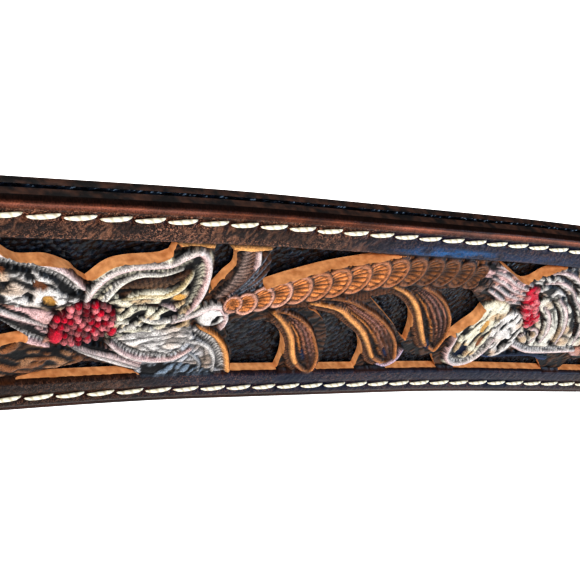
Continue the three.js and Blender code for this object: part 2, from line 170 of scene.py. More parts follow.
def loop_plan(travel):
    """Point and heading of the outer face at each travel from the buckle's bar."""
    s = np.mod(np.asarray(travel, float), loop_length)
    heading = np.full(s.shape, math.pi + back_tilt)
    x, y = np.empty_like(s), np.empty_like(s)
    normal = (-math.sin(back_tilt), math.cos(back_tilt))
    big_at = s - front_start - front_run
    back_at = big_at - big_bend_run
    for mask, centre, radius, run in (
        (s < half_back, (0, SMALL_BEND_RADIUS), SMALL_BEND_RADIUS, s - half_back),
        (back_at >= 0, (front_run, BIG_BEND_RADIUS), BIG_BEND_RADIUS, back_at),
    ):
        x[mask] = centre[0] + normal[0] * radius - math.cos(back_tilt) * run[mask]
        y[mask] = centre[1] + normal[1] * radius - math.sin(back_tilt) * run[mask]
    small = (s >= half_back) & (s < front_start)
    heading[small] += (s[small] - half_back) / SMALL_BEND_RADIUS
    big = (big_at >= 0) & (back_at < 0)
    heading[big] = big_at[big] / BIG_BEND_RADIUS
    for mask, centre, radius in ((small, (0, SMALL_BEND_RADIUS), SMALL_BEND_RADIUS),
                                 (big, (front_run, BIG_BEND_RADIUS), BIG_BEND_RADIUS)):
        x[mask] = centre[0] + radius * np.sin(heading[mask])
        y[mask] = centre[1] - radius * np.cos(heading[mask])
    front = (s >= front_start) & (big_at < 0)
    along = s[front] - front_start
    dent = lambda f: FRONT_DENT_DEPTH * smooth(f / DENT_LEFT_SHOULDER) * smooth((DENT_LENGTH - f) / DENT_RIGHT_SHOULDER)
    x[front] = along
    y[front] = dent(along)
    heading[front] = np.arctan((dent(along + 0.01) - dent(along - 0.01)) / 0.02)
    return x, y, heading


def strap_place(u, v, depth):
    """Metres, for travel u, height v and depth behind the outer face, with the turned-back end and the tip."""
    u, v, depth = np.broadcast_arrays(np.asarray(u, float), v, depth)
    fold = (u < 0) & (u > -fold_length)
    turned = u <= -fold_length
    s = np.where(turned, -fold_length - u, np.where(fold, 0, u))
    x, y, heading = loop_plan(s)
    lift = lift_height * smooth((u - (loop_length - LIFT_RUN)) / (LIFT_RUN - fold_radius / 2))
    closed = 2 * (strap_thickness + CLEARANCE)
    back_depth = 2 * fold_radius + (closed - 2 * fold_radius) * smooth(s / TURN_BACK_CLOSE)
    out = np.where(turned, -back_depth + depth, lift - depth)
    turn_angle = math.pi * (1 + u / fold_length)
    swing = fold_radius - depth
    out = np.where(fold, -fold_radius + swing * -np.cos(turn_angle), out)
    back = np.where(fold, -swing * np.sin(turn_angle), 0)
    px = x + np.sin(heading) * out + np.cos(heading) * back + plan_shift[0]
    py = y - np.cos(heading) * out + np.sin(heading) * back + plan_shift[1]
    return np.stack([px, py, v], -1) * MM


def half_width(u):
    start = smooth((u - START_TAPER_AT) / TAPER_LENGTH)
    finish = smooth((loop_length - PLAIN_FINISH - u) / TAPER_LENGTH)
    body = (END_WIDTH + (BELT_WIDTH - END_WIDTH) * start * finish) / 2
    to_end = np.clip((loop_length + TIP_LENGTH - u) / TIP_POINT_LENGTH, 0, 1)
    share = np.sin(np.arccos(1 - to_end))
    return np.where(to_end < 1, TIP_BLUNT_WIDTH / 2 + (body - TIP_BLUNT_WIDTH / 2) * share, body)



# The tooled front strap. It is veg-tanned leather, carved and stamped with a flower and a scrolling
# leafy stem, cut through round them, painted by hand, and sewn down over a darker strap.
# The pattern is drawn on a board one repeat long: its height, its paint and its dark grooves.
BOARD_STEP = 0.25
BOARD_SPARE = 20
REPEAT_FROM = -62
REPEAT_TO = REPEAT_FROM + REPEAT_LENGTH
PHOTO_TRAVEL = PLAIN_START + REPEAT_LENGTH - REPEAT_FROM
PANEL_LOW = BORDER_WIDTH
PANEL_HIGH = BELT_WIDTH - BORDER_WIDTH

WHITE = (0.70, 0.65, 0.61)
PINK_WHITE = (0.64, 0.42, 0.40)
CREAM = (0.72, 0.66, 0.52)
TAN = (0.78, 0.40, 0.15)
ORANGE = (0.62, 0.25, 0.07)
BROWN = (0.20, 0.075, 0.03)
DARK_BROWN = (0.05, 0.022, 0.014)
BLACK = (0.004, 0.004, 0.005)
SEED_RED = (0.50, 0.012, 0.04)
SEED_PINK = (0.64, 0.20, 0.21)
OCHRE = (0.55, 0.30, 0.08)
GREY_BLUE = (0.22, 0.27, 0.33)
# DARK_BLUE_SHEEN is a painted bluish sheen on dark edges and hollows.
DARK_BLUE_SHEEN = (0.004, 0.018, 0.060)

ALONG, UP = np.meshgrid(
    np.arange(REPEAT_FROM - BOARD_SPARE, REPEAT_TO + BOARD_SPARE + BOARD_STEP / 2, BOARD_STEP),
    np.arange(0, BELT_WIDTH + BOARD_STEP / 2, BOARD_STEP))
height = np.zeros(ALONG.shape)
groove = np.zeros(ALONG.shape)
paint = np.zeros(ALONG.shape + (3,))


def grain(x, y, seed):
    """Soft even noise from 0 to 1, one lump to each unit."""
    table = np.random.default_rng(seed).random((64, 64))
    column, row = np.floor(x).astype(int), np.floor(y).astype(int)
    fx, fy = smooth(x - column), smooth(y - row)
    def at(i, j):
        return table[(row + j) % 64, (column + i) % 64]
    low = at(0, 0) * (1 - fx) + at(1, 0) * fx
    high = at(0, 1) * (1 - fx) + at(1, 1) * fx
    return low * (1 - fy) + high * fy


def scratches(x, y, angle, long, wide, share, seed):
    """Short wavering cuts lying at an angle in degrees, over a share of the leather."""
    a = math.radians(angle)
    p = x * math.cos(a) + y * math.sin(a)
    q = y * math.cos(a) - x * math.sin(a) + 0.9 * (grain(x / 2.1, y / 2.1, seed + 1) - 0.5)
    value = grain(p / long, q / wide, seed)
    return smooth((value - (1 - share)) / 0.16 + 0.5)


def smooth_line(points, spacing=0.15):
    """Many points on a smooth curve through a few; a width beside each point goes along with it."""
    knots = np.array(points, float)
    knots = np.vstack([2 * knots[0] - knots[1], knots, 2 * knots[-1] - knots[-2]])
    pieces = []
    for a, b, c, d in zip(knots, knots[1:], knots[2:], knots[3:]):
        count = max(2, int(np.hypot(*(c - b)[:2]) / spacing))
        t = np.linspace(0, 1, count, endpoint=False)[:, None]
        pieces.append((2 * b + (c - a) * t + (2 * a - 5 * b + 4 * c - d) * t ** 2
                       + (3 * b - a - 3 * c + d) * t ** 3) / 2)
    return np.vstack(pieces + [knots[-2:-1]])


def cells_near(line, reach):
    low = line[:, :2].min(0) - reach - (ALONG[0, 0], UP[0, 0])
    high = line[:, :2].max(0) + reach - (ALONG[0, 0], UP[0, 0])
    i, j = np.maximum(0, (low / BOARD_STEP).astype(int))
    last_i, last_j = np.maximum(0, (high / BOARD_STEP).astype(int) + 1)
    return np.s_[j:last_j, i:last_i]


def nearest(line, area):
    gap = (ALONG[area][..., None] - line[:, 0]) ** 2 + (UP[area][..., None] - line[:, 1]) ** 2
    found = gap.argmin(-1)
    return found, np.sqrt(np.take_along_axis(gap, found[..., None], -1)[..., 0])


def lay(area, inside, level, tone, cut):
    """Puts one tooled form over what is under it."""
    height[area] = np.where(inside, level, height[area])
    groove[area] = np.where(inside, cut, groove[area])
    paint[area] = np.where(inside[..., None], tone, paint[area])


def repeats_of(points, reach):
    for shift in (-REPEAT_LENGTH, 0, REPEAT_LENGTH):
        moved = np.array(points, float)
        moved[:, 0] += shift
        if moved[:, 0].max() + reach > ALONG[0, 0] and moved[:, 0].min() - reach < ALONG[0, -1]:
            yield moved


def ribbon(points, tones, crown=0.25, level=-0.15, stripes=0, line=0.32, ticks=0, tick_share=1.0, slant=0.0):
    """A carved band: points are along, up and half width. It goes from the tone on its left to the one
    on its right, with cut lines along it or ticks across it."""
    left, right = np.array(tones[0]), np.array(tones[-1])
    for moved in repeats_of(points, 4):
        route = smooth_line(moved)
        area = cells_near(route, route[:, 2].max() + 0.2)
        if 0 in height[area].shape:
            continue
        found, gap = nearest(route, area)
        step = np.gradient(route[:, :2], axis=0)
        size = np.hypot(step[:, 0], step[:, 1]) + 1e-9
        run = np.cumsum(size)[found]
        side = ((UP[area] - route[found, 1]) * step[found, 0]
                - (ALONG[area] - route[found, 0]) * step[found, 1]) / size[found]
        half = np.maximum(route[found, 2], 0.05)
        across = np.clip(side / half, -1, 1)
        cut = 1 - smooth((half - gap) / line)
        if stripes:
            phase = (across + 1) / 2 * stripes + 0.35 * (grain(run / 3, across, 5) - 0.5)
            cut = np.maximum(cut, 1 - smooth(np.abs(phase - np.round(phase)) * 2 * half / stripes / line))
        if ticks:
            phase = run / ticks + slant * across
            tick = 1 - smooth(np.abs(phase - np.round(phase)) * ticks / 0.26)
            cut = np.maximum(cut, tick * (np.abs(across) < tick_share))
        share = smooth((across + 1) / 2)[..., None]
        lay(area, gap < half, level + crown * (1 - across ** 2), right * share + left * (1 - share), cut)


def patch(points, tone, crown=0.2, level=-0.2, angle=0, long=2.4, wide=0.55, share=0.35, rings=0.0, seed=1):
    """A carved area inside an outline, cut all over by scratches at an angle or by rings from its edge."""
    for moved in repeats_of(points, 1):
        outline = smooth_line(np.vstack([moved, moved[:1]]), 0.3)
        area = cells_near(outline, 0.3)
        if 0 in height[area].shape:
            continue
        _, gap = nearest(outline, area)
        x, y = ALONG[area][..., None], UP[area][..., None]
        start, end = outline[:-1], outline[1:]
        crosses = (start[:, 1] > y) != (end[:, 1] > y)
        rise = np.where(start[:, 1] == end[:, 1], 1e-9, end[:, 1] - start[:, 1])
        before = x < start[:, 0] + (y - start[:, 1]) * (end[:, 0] - start[:, 0]) / rise
        inside = (crosses & before).sum(-1) % 2 == 1
        cut = np.maximum(scratches(ALONG[area], UP[area], angle, long, wide, share, seed),
                         0.9 * scratches(ALONG[area], UP[area], angle + 35, long * 0.45, wide * 0.8, share * 0.7, seed + 3))
        stain = smooth((grain(ALONG[area] / 2.6, UP[area] / 1.8, seed + 5) - 0.42) / 0.4)[..., None]
        stained = np.array(tone) * (1 - 0.72 * stain * (1 - np.array((0.62, 0.40, 0.22))))
        if rings:
            phase = gap / rings + 0.8 * (grain(ALONG[area] / 2, UP[area] / 2, seed + 9) - 0.5)
            cut = np.maximum(cut * 0.6, smooth(1 - np.abs(phase - np.round(phase)) * rings / 0.3))
        cut = np.maximum(cut, 1 - smooth(gap / 0.35))
        lay(area, inside, level + crown * smooth(gap / 1.6), stained, cut)


def rimmed(points, side, band, tones, pitch=0.66, dark=BLACK, light=WHITE):
    """A raised rim with a band of fine dark cuts running in from it on one side, 1 to its left."""
    route = smooth_line(points, 1.0)
    step = np.gradient(route[:, :2], axis=0)
    step /= np.hypot(step[:, 0], step[:, 1])[:, None]
    normal = np.stack([-step[:, 1], step[:, 0]], 1)
    inner = route[:, :2] + side * normal * (route[:, 2:] + band / 2 - 0.2)
    taper = np.sin(np.linspace(0.25, math.pi - 0.25, len(inner))) ** 0.5
    tones_in = (dark, light) if side < 0 else (light, dark)
    ribbon(np.column_stack([inner, band / 2 * taper])[::2], tones_in, 0.05, -0.35, ticks=pitch, slant=0.35, line=0.2)
    ribbon(points, tones, 0.28, 0.0, line=0.26)


def spot(along, up, long, wide, tone, level=-0.1, dome=0.0, turn=0.0, cut=0.0):
    for moved in repeats_of([(along, up)], 4):
        area = cells_near(moved, max(long, wide) + 0.3)
        if 0 in height[area].shape:
            continue
        a = math.radians(turn)
        dx, dy = ALONG[area] - moved[0, 0], UP[area] - moved[0, 1]
        p, q = dx * math.cos(a) + dy * math.sin(a), dy * math.cos(a) - dx * math.sin(a)
        out = np.hypot(p / long, q / wide)
        edge = np.clip((out - 0.72) / 0.28, 0, 1) if dome else cut
        lay(area, out < 1, level + dome * np.sqrt(np.clip(1 - out ** 2, 0, 1)), np.array(tone), edge)


def fan(along, up, reach, across, lean, rim, body):
    """One scale of the stem: a fan with a bright rim at its far side and fine cuts running out to it."""
    for moved in repeats_of([(along, up)], 5):
        area = cells_near(moved, max(reach, across) + 0.3)
        if 0 in height[area].shape:
            continue
        a = math.radians(lean)
        dx, dy = ALONG[area] - moved[0, 0], UP[area] - moved[0, 1]
        p, q = dx * math.cos(a) + dy * math.sin(a), dy * math.cos(a) - dx * math.sin(a)
        out = np.hypot(p / reach, q / across)
        angle = np.arctan2(q, p + reach * 1.3)
        rays = smooth(0.95 - np.abs(angle / 0.19 - np.round(angle / 0.19)) * 2.6 - 0.35 * (out - 0.5)) * (out < 0.74)
        cut = np.maximum(rays, smooth((out - 0.83) / 0.1))
        cut = np.maximum(cut, 0.9 * smooth(1 - np.abs(out - 0.66) / 0.07))
        shine = smooth((out - 0.62) / 0.12)[..., None]
        bright = smooth((out - 0.05) / 0.5)[..., None]
        tone = np.array(rim) * shine + np.array(body) * (0.45 + 0.75 * bright) * (1 - shine)
        lay(area, out < 1, -0.25 + 0.38 * smooth(out), tone, cut)


# The ground between the forms is carved down, stamped and blackened
in_panel = (UP > PANEL_LOW) & (UP < PANEL_HIGH)
height[:] = np.where(in_panel, -0.75, 0)
stamped = scratches(ALONG, UP, 25, 0.9, 0.32, 0.55, 3)
groove[:] = np.where(in_panel, 0.45 + 0.55 * stamped, 0)
paint[:] = np.where(in_panel[..., None], (0.16, 0.07, 0.035), BROWN)

# First flower: streaked outer petals, a brown leaf, and a pointed petal below its heart of seeds
patch([(-64, 24), (-60, 28.5), (-53, 29.8), (-46, 29.3), (-40, 27.6), (-36, 25), (-34.2, 22), (-37, 19.5),
       (-44, 20), (-52, 22), (-58, 21)], WHITE, 0.4, -0.2, -28, 2.2, 0.5, 0.47, seed=11)
for along, up, long, wide, tone in (
        (-42.8, 25.7, 1.0, 0.5, BLACK), (-38.5, 25.3, 1.2, 0.6, BLACK), (-37.2, 23.6, 1.6, 0.9, BLACK),
        (-45.5, 24.6, 0.8, 0.5, BLACK), (-41, 24.3, 1.2, 0.6, BROWN), (-39, 21.8, 1.3, 0.6, OCHRE),
        (-47, 27, 0.9, 0.4, BROWN), (-42, 22.6, 1.0, 0.5, BLACK)):
    spot(along, up, long, wide, tone, -0.35, turn=-35, cut=0.1)
rimmed([(-62, 25.5, 0.5), (-57, 28.4, 0.55), (-50, 29.6, 0.6), (-44, 28.6, 0.55), (-39, 26.8, 0.5),
        (-35, 23.8, 0.4)], -1, 1.3, (WHITE, PINK_WHITE))
patch([(-62, 16), (-56, 21.5), (-48, 21.5), (-42, 20.5), (-37, 18.8), (-36.2, 14), (-40, 14.4), (-44, 16.6),
       (-49, 18.6), (-56, 17)], PINK_WHITE, 0.35, -0.2, -27, 4.5, 0.6, 0.44, seed=21)
ribbon([(-54, 20.6, 0.3), (-47, 20.4, 0.5), (-42, 18.6, 0.5), (-37.2, 16.8, 0.3)], (PINK_WHITE, WHITE), 0.2, -0.1)
rimmed([(-52, 20, 0.5), (-46, 17.8, 0.6), (-41, 15.2, 0.6), (-36.6, 13.4, 0.5)], 1, 1.1, (PINK_WHITE, PINK_WHITE))
patch([(-52, 13), (-47, 15), (-42, 14.6), (-37, 13.4), (-32, 12), (-30, 9.8), (-34, 8.4), (-40, 7.4),
       (-48, 7.2), (-53, 9)], (0.32, 0.17, 0.09), 0.3, -0.3, -12, 2.6, 0.5, 0.45, seed=31)
ribbon([(-34, 13.8, 0.4), (-30.5, 12.2, 0.9), (-26, 10.6, 1.3), (-21, 8.6, 0.9), (-15, 7.2, 0.5),
        (-12, 6.7, 0.2)], (WHITE, PINK_WHITE), 0.3, -0.1, stripes=3, line=0.28)
ribbon([(-32.5, 13.4, 0.2), (-29, 12.2, 0.45), (-25, 11.0, 0.3), (-23, 10.2, 0.1)], (BLACK, BLACK), 0, -0.4)

# Big scroll petal, curling over to the right of the seeds
patch([(-34, 20), (-34, 26), (-31.5, 28), (-26, 28.5), (-23, 30.2), (-20.5, 30.8), (-18, 29.4), (-16.4, 25),
       (-16, 20), (-16.5, 14), (-21, 12), (-27, 13), (-29.5, 16)], CREAM, 0.3, -0.35, 24, 1.9, 0.6, 0.37, seed=41)
patch([(-31.5, 22.5), (-29.8, 26.2), (-25, 26.8), (-22.5, 28.4), (-20, 28.6), (-18.8, 25), (-20.5, 22.8),
       (-26, 21.8)], (0.10, 0.05, 0.03), 0.15, -0.6, 10, 2.2, 0.6, 0.5, seed=43)
ribbon([(-31.5, 21, 0.5), (-30.2, 24.6, 0.6), (-28, 26.2, 0.6), (-24.5, 26.5, 0.5), (-22, 27.4, 0.4)],
       (CREAM, WHITE), 0.25, -0.15)
ribbon([(-28, 22.2, 0.3), (-25, 22.9, 0.5), (-22, 22.9, 0.6), (-20.3, 24.4, 0.6), (-19.9, 26.8, 0.3)],
       (CREAM, CREAM), 0.25, -0.2)
ribbon([(-29.8, 23.6, 0.4), (-26, 24.5, 1.3), (-22.6, 24.8, 1.1), (-21.2, 26.2, 0.3)], ((0.20, 0.11, 0.06), DARK_BROWN),
       0.2, -0.4, ticks=0.7, slant=0.8, line=0.3)
rimmed([(-33.9, 20.5, 0.45), (-33.5, 23.6, 0.55), (-32.2, 26, 0.6), (-29.8, 27.3, 0.6), (-26.5, 27.7, 0.55),
        (-24, 28, 0.55), (-22.4, 29.3, 0.55), (-20.6, 30.2, 0.6), (-18.9, 29.0, 0.6), (-17.7, 26.6, 0.6),
        (-17.1, 23.5, 0.6), (-17.2, 20.8, 0.5), (-18, 18.9, 0.35)], -1, 1.7, (PINK_WHITE, WHITE), light=CREAM)
ribbon([(-31.2, 21, 0.4), (-30, 24.4, 0.5), (-28, 25.9, 0.5), (-24.5, 26.2, 0.4), (-22, 27.2, 0.3)],
       (CREAM, WHITE), 0.25, -0.1)
ribbon([(-28.6, 21.6, 0.3), (-25.6, 22.2, 0.5), (-22.6, 22.2, 0.6), (-20.6, 23.8, 0.6), (-20.1, 26.4, 0.3)],
       (CREAM, (0.62, 0.48, 0.26)), 0.25, -0.15)
ribbon([(-26.4, 20.4, 0.2), (-24.4, 20.4, 0.4), (-21.8, 20.4, 0.5), (-19.6, 21.2, 0.4)], (DARK_BROWN, BLACK), 0.05,
       -0.5, ticks=0.6, line=0.2)
ribbon([(-25.2, 18.4, 0.3), (-22.6, 17.4, 0.5), (-20, 17.6, 0.5), (-18.4, 18.8, 0.3)], (CREAM, WHITE), 0.3, -0.1)
ribbon([(-28.4, 14.8, 0.2), (-25.6, 16.4, 0.5), (-22.8, 16.0, 0.6), (-20.4, 15.2, 0.3)], (CREAM, WHITE), 0.3, -0.1)
ribbon([(-29.6, 17.2, 0.25), (-27.6, 17.5, 0.4), (-25, 17.2, 0.4), (-22.9, 16.2, 0.3)], (WHITE, CREAM), 0.3, -0.05)
ribbon([(-22.6, 20.8, 0.25), (-20.8, 20.2, 0.4), (-19.4, 19.0, 0.4), (-19.6, 17.4, 0.3)], (WHITE, PINK_WHITE), 0.3, -0.05)
ribbon([(-23, 13.6, 0.25), (-20.4, 14.4, 0.45), (-17.6, 14.2, 0.4), (-15.6, 12.8, 0.2)], (WHITE, WHITE), 0.3, -0.05)
spot(-20.2, 28.7, 1.0, 0.6, BLACK, -0.5, turn=-50)
spot(-20.2, 22.0, 0.9, 0.6, OCHRE, -0.2)
for along, up, long, wide, turn in ((-25.4, 17.6, 1.5, 0.45, 50), (-23.6, 16.6, 1.2, 0.35, 20),
                                    (-20.4, 18.8, 1.5, 0.8, 10), (-18.4, 16.6, 1.3, 0.4, 35),
                                    (-22.4, 19.6, 0.9, 0.35, 60), (-27.4, 19.4, 1.0, 0.4, 70),
                                    (-26.2, 15.2, 1.1, 0.35, -20), (-21.6, 14.6, 1.0, 0.35, 10)):
    spot(along, up, long, wide, BLACK, -0.5, turn=turn)

# Lower lobe, leaf and eye at the foot of the scroll
patch([(-27.5, 14), (-25, 11.4), (-21, 9.6), (-16, 8.9), (-12.8, 11), (-13.4, 15), (-17, 16.2), (-23, 15.6)],
      WHITE, 0.35, -0.25, 15, 2.0, 0.55, 0.32, rings=1.1, seed=51)
patch([(-21, 9.2), (-17, 10.4), (-13.5, 15.6), (-10, 13.6), (-7.4, 10.6), (-5.6, 7), (-9, 6.4), (-20, 6.4)],
      (0.50, 0.50, 0.52), 0.35, -0.3, 35, 2.0, 0.6, 0.34, rings=1.0, seed=53)
patch([(-21, 8.6), (-16, 9.2), (-11, 8.2), (-7.5, 6.4), (-9, 5.0), (-18, 4.8)], GREY_BLUE, 0.15, -0.1, 60, 1.6,
      0.7, 0.45, seed=57)
rimmed([(-14.4, 16.2, 0.3), (-11, 14.4, 0.4), (-8, 11.4, 0.5), (-5.6, 7.2, 0.5)], -1, 1.8, (TAN, ORANGE))
ribbon([(-15.6, 13.4, 0.3), (-12, 12.6, 0.4), (-9.4, 10, 0.4), (-8.2, 7, 0.3)], (WHITE, WHITE), 0.2, -0.1)
ribbon([(-17.6, 11.8, 0.2), (-14, 11, 0.35), (-11.4, 9, 0.35), (-10.6, 6.8, 0.2)], (WHITE, GREY_BLUE), 0.2, -0.1)
rimmed([(-27.5, 13.4, 0.4), (-24.5, 11.2, 0.5), (-20.5, 9.9, 0.55), (-16.5, 9.9, 0.5), (-14.2, 11.8, 0.4)], 1, 1.3,
       (WHITE, PINK_WHITE))
spot(-13.2, 18.3, 2.6, 2.1, WHITE, -0.25, 0.35)
spot(-12.5, 17.7, 0.7, 1.0, BLACK, -0.4, turn=-20)
ribbon([(-19.5, 17.4, 0.4), (-16.5, 18.8, 0.6), (-14.6, 20.3, 0.6), (-12.4, 20, 0.6), (-10.9, 17.9, 0.5),
        (-10.9, 15.9, 0.3)], (PINK_WHITE, WHITE), 0.25, 0)

# Heart of red and pink seeds
# A dark disc under the seeds: painted shade in the gaps between them.
spot(-32.8, 17.3, 4.8, 4.3, (0.02, 0.002, 0.004), -0.5, 0.3)
chance = np.random.default_rng(7)
for ring_radius, count in ((3.85, 22), (2.95, 16), (2.0, 11), (1.05, 6), (0, 1)):
    for k in range(count):
        turn_at = 2 * math.pi * k / count + 0.3 * ring_radius
        tone = SEED_RED if chance.random() < 0.42 else SEED_PINK
        spot(-32.8 + ring_radius * math.cos(turn_at) * 1.05 + 0.3 * (chance.random() - 0.5),
             17.3 + ring_radius * math.sin(turn_at) * 0.92 + 0.3 * (chance.random() - 0.5),
             0.52, 0.48, np.array(tone) * (0.25 + 1.1 * chance.random()), -0.1, 0.5)
spot(-35.9, 15.2, 1.0, 1.5, SEED_RED, 0.05, 0.35, turn=20)
spot(-28, 15.8, 0.6, 0.9, SEED_RED, 0.0, 0.3)

# Blades and the grey frond between the flower and the stem
ribbon([(-13.2, 31.6, 0.9), (-12, 28.2, 1.4), (-12, 25, 1.4), (-13.8, 22, 0.7)], ((0.30, 0.22, 0.19), (0.20, 0.09, 0.05)),
       0.2, -0.3, ticks=0.7, slant=0.5, line=0.45)
ribbon([(-11.9, 31.4, 0.5), (-10.6, 28.2, 0.6), (-10.4, 25.4, 0.6), (-12.3, 22.6, 0.4)], (PINK_WHITE, WHITE), 0.25, 0)
ribbon([(-15.6, 31.2, 0.5), (-14.8, 28.6, 0.5), (-14.8, 25.8, 0.5), (-15.8, 23.6, 0.3)], (TAN, ORANGE), 0.2, -0.05)
for end_along, end_up in ((-6.4, 25), (-6.9, 27), (-7.4, 28.8), (-8.4, 30.6), (-9.6, 31.2)):
    ribbon([(-12.4, 21.8, 0.2), ((-12.4 + end_along) / 2 + 0.4, (21.8 + end_up) / 2 - 0.6, 0.5),
            (end_along, end_up, 0.3)], (GREY_BLUE, BROWN), 0.2, -0.35, stripes=2, line=0.25)

# Curved fronds hanging from the stem
def frond(centre, halves, inner, rim, stripes):
    route = [(x, y, h) for (x, y), h in zip(centre, halves)]
    ribbon(route, (np.array(inner) * 0.3, np.array(inner) * 0.2), 0.35, -0.35, stripes=stripes, line=0.25)
    line_points = smooth_line(route, 1.4)
    step = np.gradient(line_points[:, :2], axis=0)
    step /= np.hypot(step[:, 0], step[:, 1])[:, None]
    normal = np.stack([-step[:, 1], step[:, 0]], 1)
    lower = line_points[:, :2] - normal * (line_points[:, 2:] - 0.4)
    upper = line_points[:, :2] + normal * (line_points[:, 2:] - 0.4)
    end = line_points[-1, :2] + step[-1] * line_points[-1, 2] * 0.8
    rimmed(np.column_stack([lower, 0.38 + 0.2 * np.sin(np.linspace(0, math.pi, len(lower)))]), 1, 1.0, (TAN, rim),
           0.6, BLACK, DARK_BROWN)
    strand = line_points[len(line_points) // 5:-1]
    for share, tone in ((-0.3, rim), (0.02, (0.50, 0.22, 0.13)), (0.32, (0.40, 0.20, 0.16)), (0.6, (0.44, 0.19, 0.12))):
        beside = strand[:, :2] + normal[len(line_points) // 5:-1] * strand[:, 2:] * share
        ribbon(np.column_stack([beside, 0.18 * np.sin(np.linspace(0.4, math.pi - 0.3, len(beside)))]), (tone, tone), 0.15,
               -0.15, line=0.12)
    outer = line_points[:, :2] - normal * (line_points[:, 2:] + 0.5)
    ribbon(np.column_stack([outer, np.full(len(outer), 0.55)])[1:-1], ((0.30, 0.13, 0.06), DARK_BROWN), 0.1, -0.3,
           ticks=0.6, slant=0.4, line=0.2)
    ribbon(np.column_stack([lower, 0.32 + 0.22 * np.sin(np.linspace(0, math.pi, len(lower)))]), (TAN, rim), 0.28, 0.0,
           line=0.26)
    around = np.vstack([lower[-3:], [end], upper[::-1]])
    ribbon(np.column_stack([around, np.linspace(0.42, 0.26, len(around))]), ((0.50, 0.22, 0.11), rim), 0.25, -0.02)


ribbon([(-3, 20.6, 0.8), (3, 21.6, 1.4), (10, 23, 1.7), (17, 25.4, 1.5), (24, 26, 1.2), (30, 26, 0.8)],
       (BROWN, DARK_BROWN), 0.2, -0.45, ticks=0.62, slant=0.5, line=0.3)
frond([(15, 26.3), (20, 25), (24, 22.9), (27.2, 20.3), (30.2, 17), (32, 14), (33, 12.2)],
      (0.9, 1.5, 2.2, 2.8, 3.0, 2.4, 1.2), (0.34, 0.14, 0.08), ORANGE, 7)
frond([(2, 22), (8, 21.4), (12, 19.6), (16.5, 17), (20.2, 13.8), (22.8, 11), (25, 9.1)],
      (0.8, 1.3, 1.7, 2.1, 2.5, 2.5, 1.5), (0.42, 0.15, 0.06), ORANGE, 6)
frond([(-3.5, 19.6), (-1, 18.6), (1.6, 17), (4, 14.8), (6, 12), (8, 9.3), (9.4, 7.4)],
      (0.6, 1.1, 1.6, 2.0, 2.3, 2.2, 1.4), (0.36, 0.13, 0.06), ORANGE, 5)
for route in ([(-15.8, 31.3, 0.35), (-13, 31.3, 0.45), (-10, 31.5, 0.3)], [(-24.4, 31.4, 0.3), (-21.5, 31.6, 0.3),
              (-19, 31.3, 0.3)]):
    ribbon(route, (TAN, TAN), 0.1, 0.05, line=0.12)
# Painted bluish sheen on the dark lower edges near the frond tips.
for along, up, long, wide, turn in ((6.6, 10.4, 1.9, 0.3, -55), (23, 10.8, 1.7, 0.3, -48), (31.2, 12.6, 1.8, 0.3, -60)):
    spot(along, up, long, wide, DARK_BLUE_SHEEN, -0.3, 0.1, turn=turn)
ribbon([(22.8, 8.2, 0.35), (24.8, 7.9, 0.5), (26.2, 9.2, 0.5), (26.4, 11.5, 0.3)], ((0.42, 0.40, 0.62), PINK_WHITE),
       0.2, 0)

# Scaled stem: overlapping fans, drawn from its far end back to the flower
ribbon([(-7, 25.2, 0.8), (0, 27.6, 1.3), (6, 29.6, 1.3), (12, 31, 1.2), (20, 31.2, 1.2), (31, 31, 1.0)],
       (ORANGE, BROWN), 0.2, -0.35, ticks=0.55, slant=0.4, line=0.2)
for along, up, reach, across, lean in (
        (34, 27.4, 2.2, 2.5, -14), (31, 28, 2.4, 2.6, -6), (27.6, 28.4, 2.6, 2.7, 0), (24.2, 28.6, 2.6, 2.8, 2),
        (20.8, 28.6, 2.7, 2.8, 4), (17.4, 28.4, 2.7, 2.9, 6), (14, 28, 2.8, 2.9, 8), (10.8, 27.3, 2.8, 2.9, 11),
        (7.6, 26.4, 2.8, 2.9, 14), (4.4, 25.5, 2.8, 2.9, 17), (1.4, 24.6, 2.7, 2.9, 19), (-1.6, 23.8, 2.6, 2.8, 21),
        (-4.4, 22.8, 2.4, 2.6, 24), (-6.9, 21.8, 2.2, 2.4, 27), (-9.1, 20.8, 2.0, 2.2, 30), (-11.2, 20.6, 1.6, 1.7, 34)):
    rosy = smooth((2 - along) / 8)
    dull = smooth((along - 8) / 14)
    rim_tone = np.array((0.50, 0.21, 0.10)) * (1 - rosy) + np.array((0.70, 0.38, 0.28)) * rosy
    fan(along, up + 0.25, reach, across * 1.16, lean, rim_tone * (1 - 0.62 * dull), np.array((0.66, 0.25, 0.08)) * (1 - 0.72 * dull))

# Second flower: stripes running into it, its seeds, and petals with dark eyes
patch([(33, 31), (37, 30.6), (46, 27.2), (46, 24), (44, 21.6), (37, 24), (33, 25)], PINK_WHITE, 0.2, -0.4, -22, 3.4,
      0.5, 0.5, seed=73)
for k, drop in enumerate((0, 1.25, 2.5, 3.75, 5.0)):
    ribbon([(34.5 + 0.3 * k, 30.6 - drop, 0.22), (38, 29.9 - drop * 1.05, 0.38), (41.5, 28.2 - drop, 0.32),
            (45.5, 26.8 - drop * 0.8, 0.22)], (PINK_WHITE, WHITE), 0.2, -0.15, line=0.22)
patch([(32.4, 26.2), (33.4, 28), (35.6, 27.8), (36.4, 25.8), (34.4, 24.6)], (0.24, 0.18, 0.17), 0.3, -0.3, 60, 1.2, 0.4,
      0.5, seed=75)
# A painted blue sheen along the dark edge under the second flower.
ribbon([(45.5, 10.2, 0.6), (50, 9.7, 0.9), (56, 10.2, 0.9), (62, 9.7, 0.7)], ((0.01, 0.05, 0.16), BLACK), 0.1, -0.4)
patch([(37, 22), (41, 23.4), (44.5, 21), (45, 14), (43.5, 8.6), (40, 7.4), (37, 9), (36.4, 14)], CREAM, 0.35, -0.25,
      80, 2.2, 0.6, 0.3, seed=61)
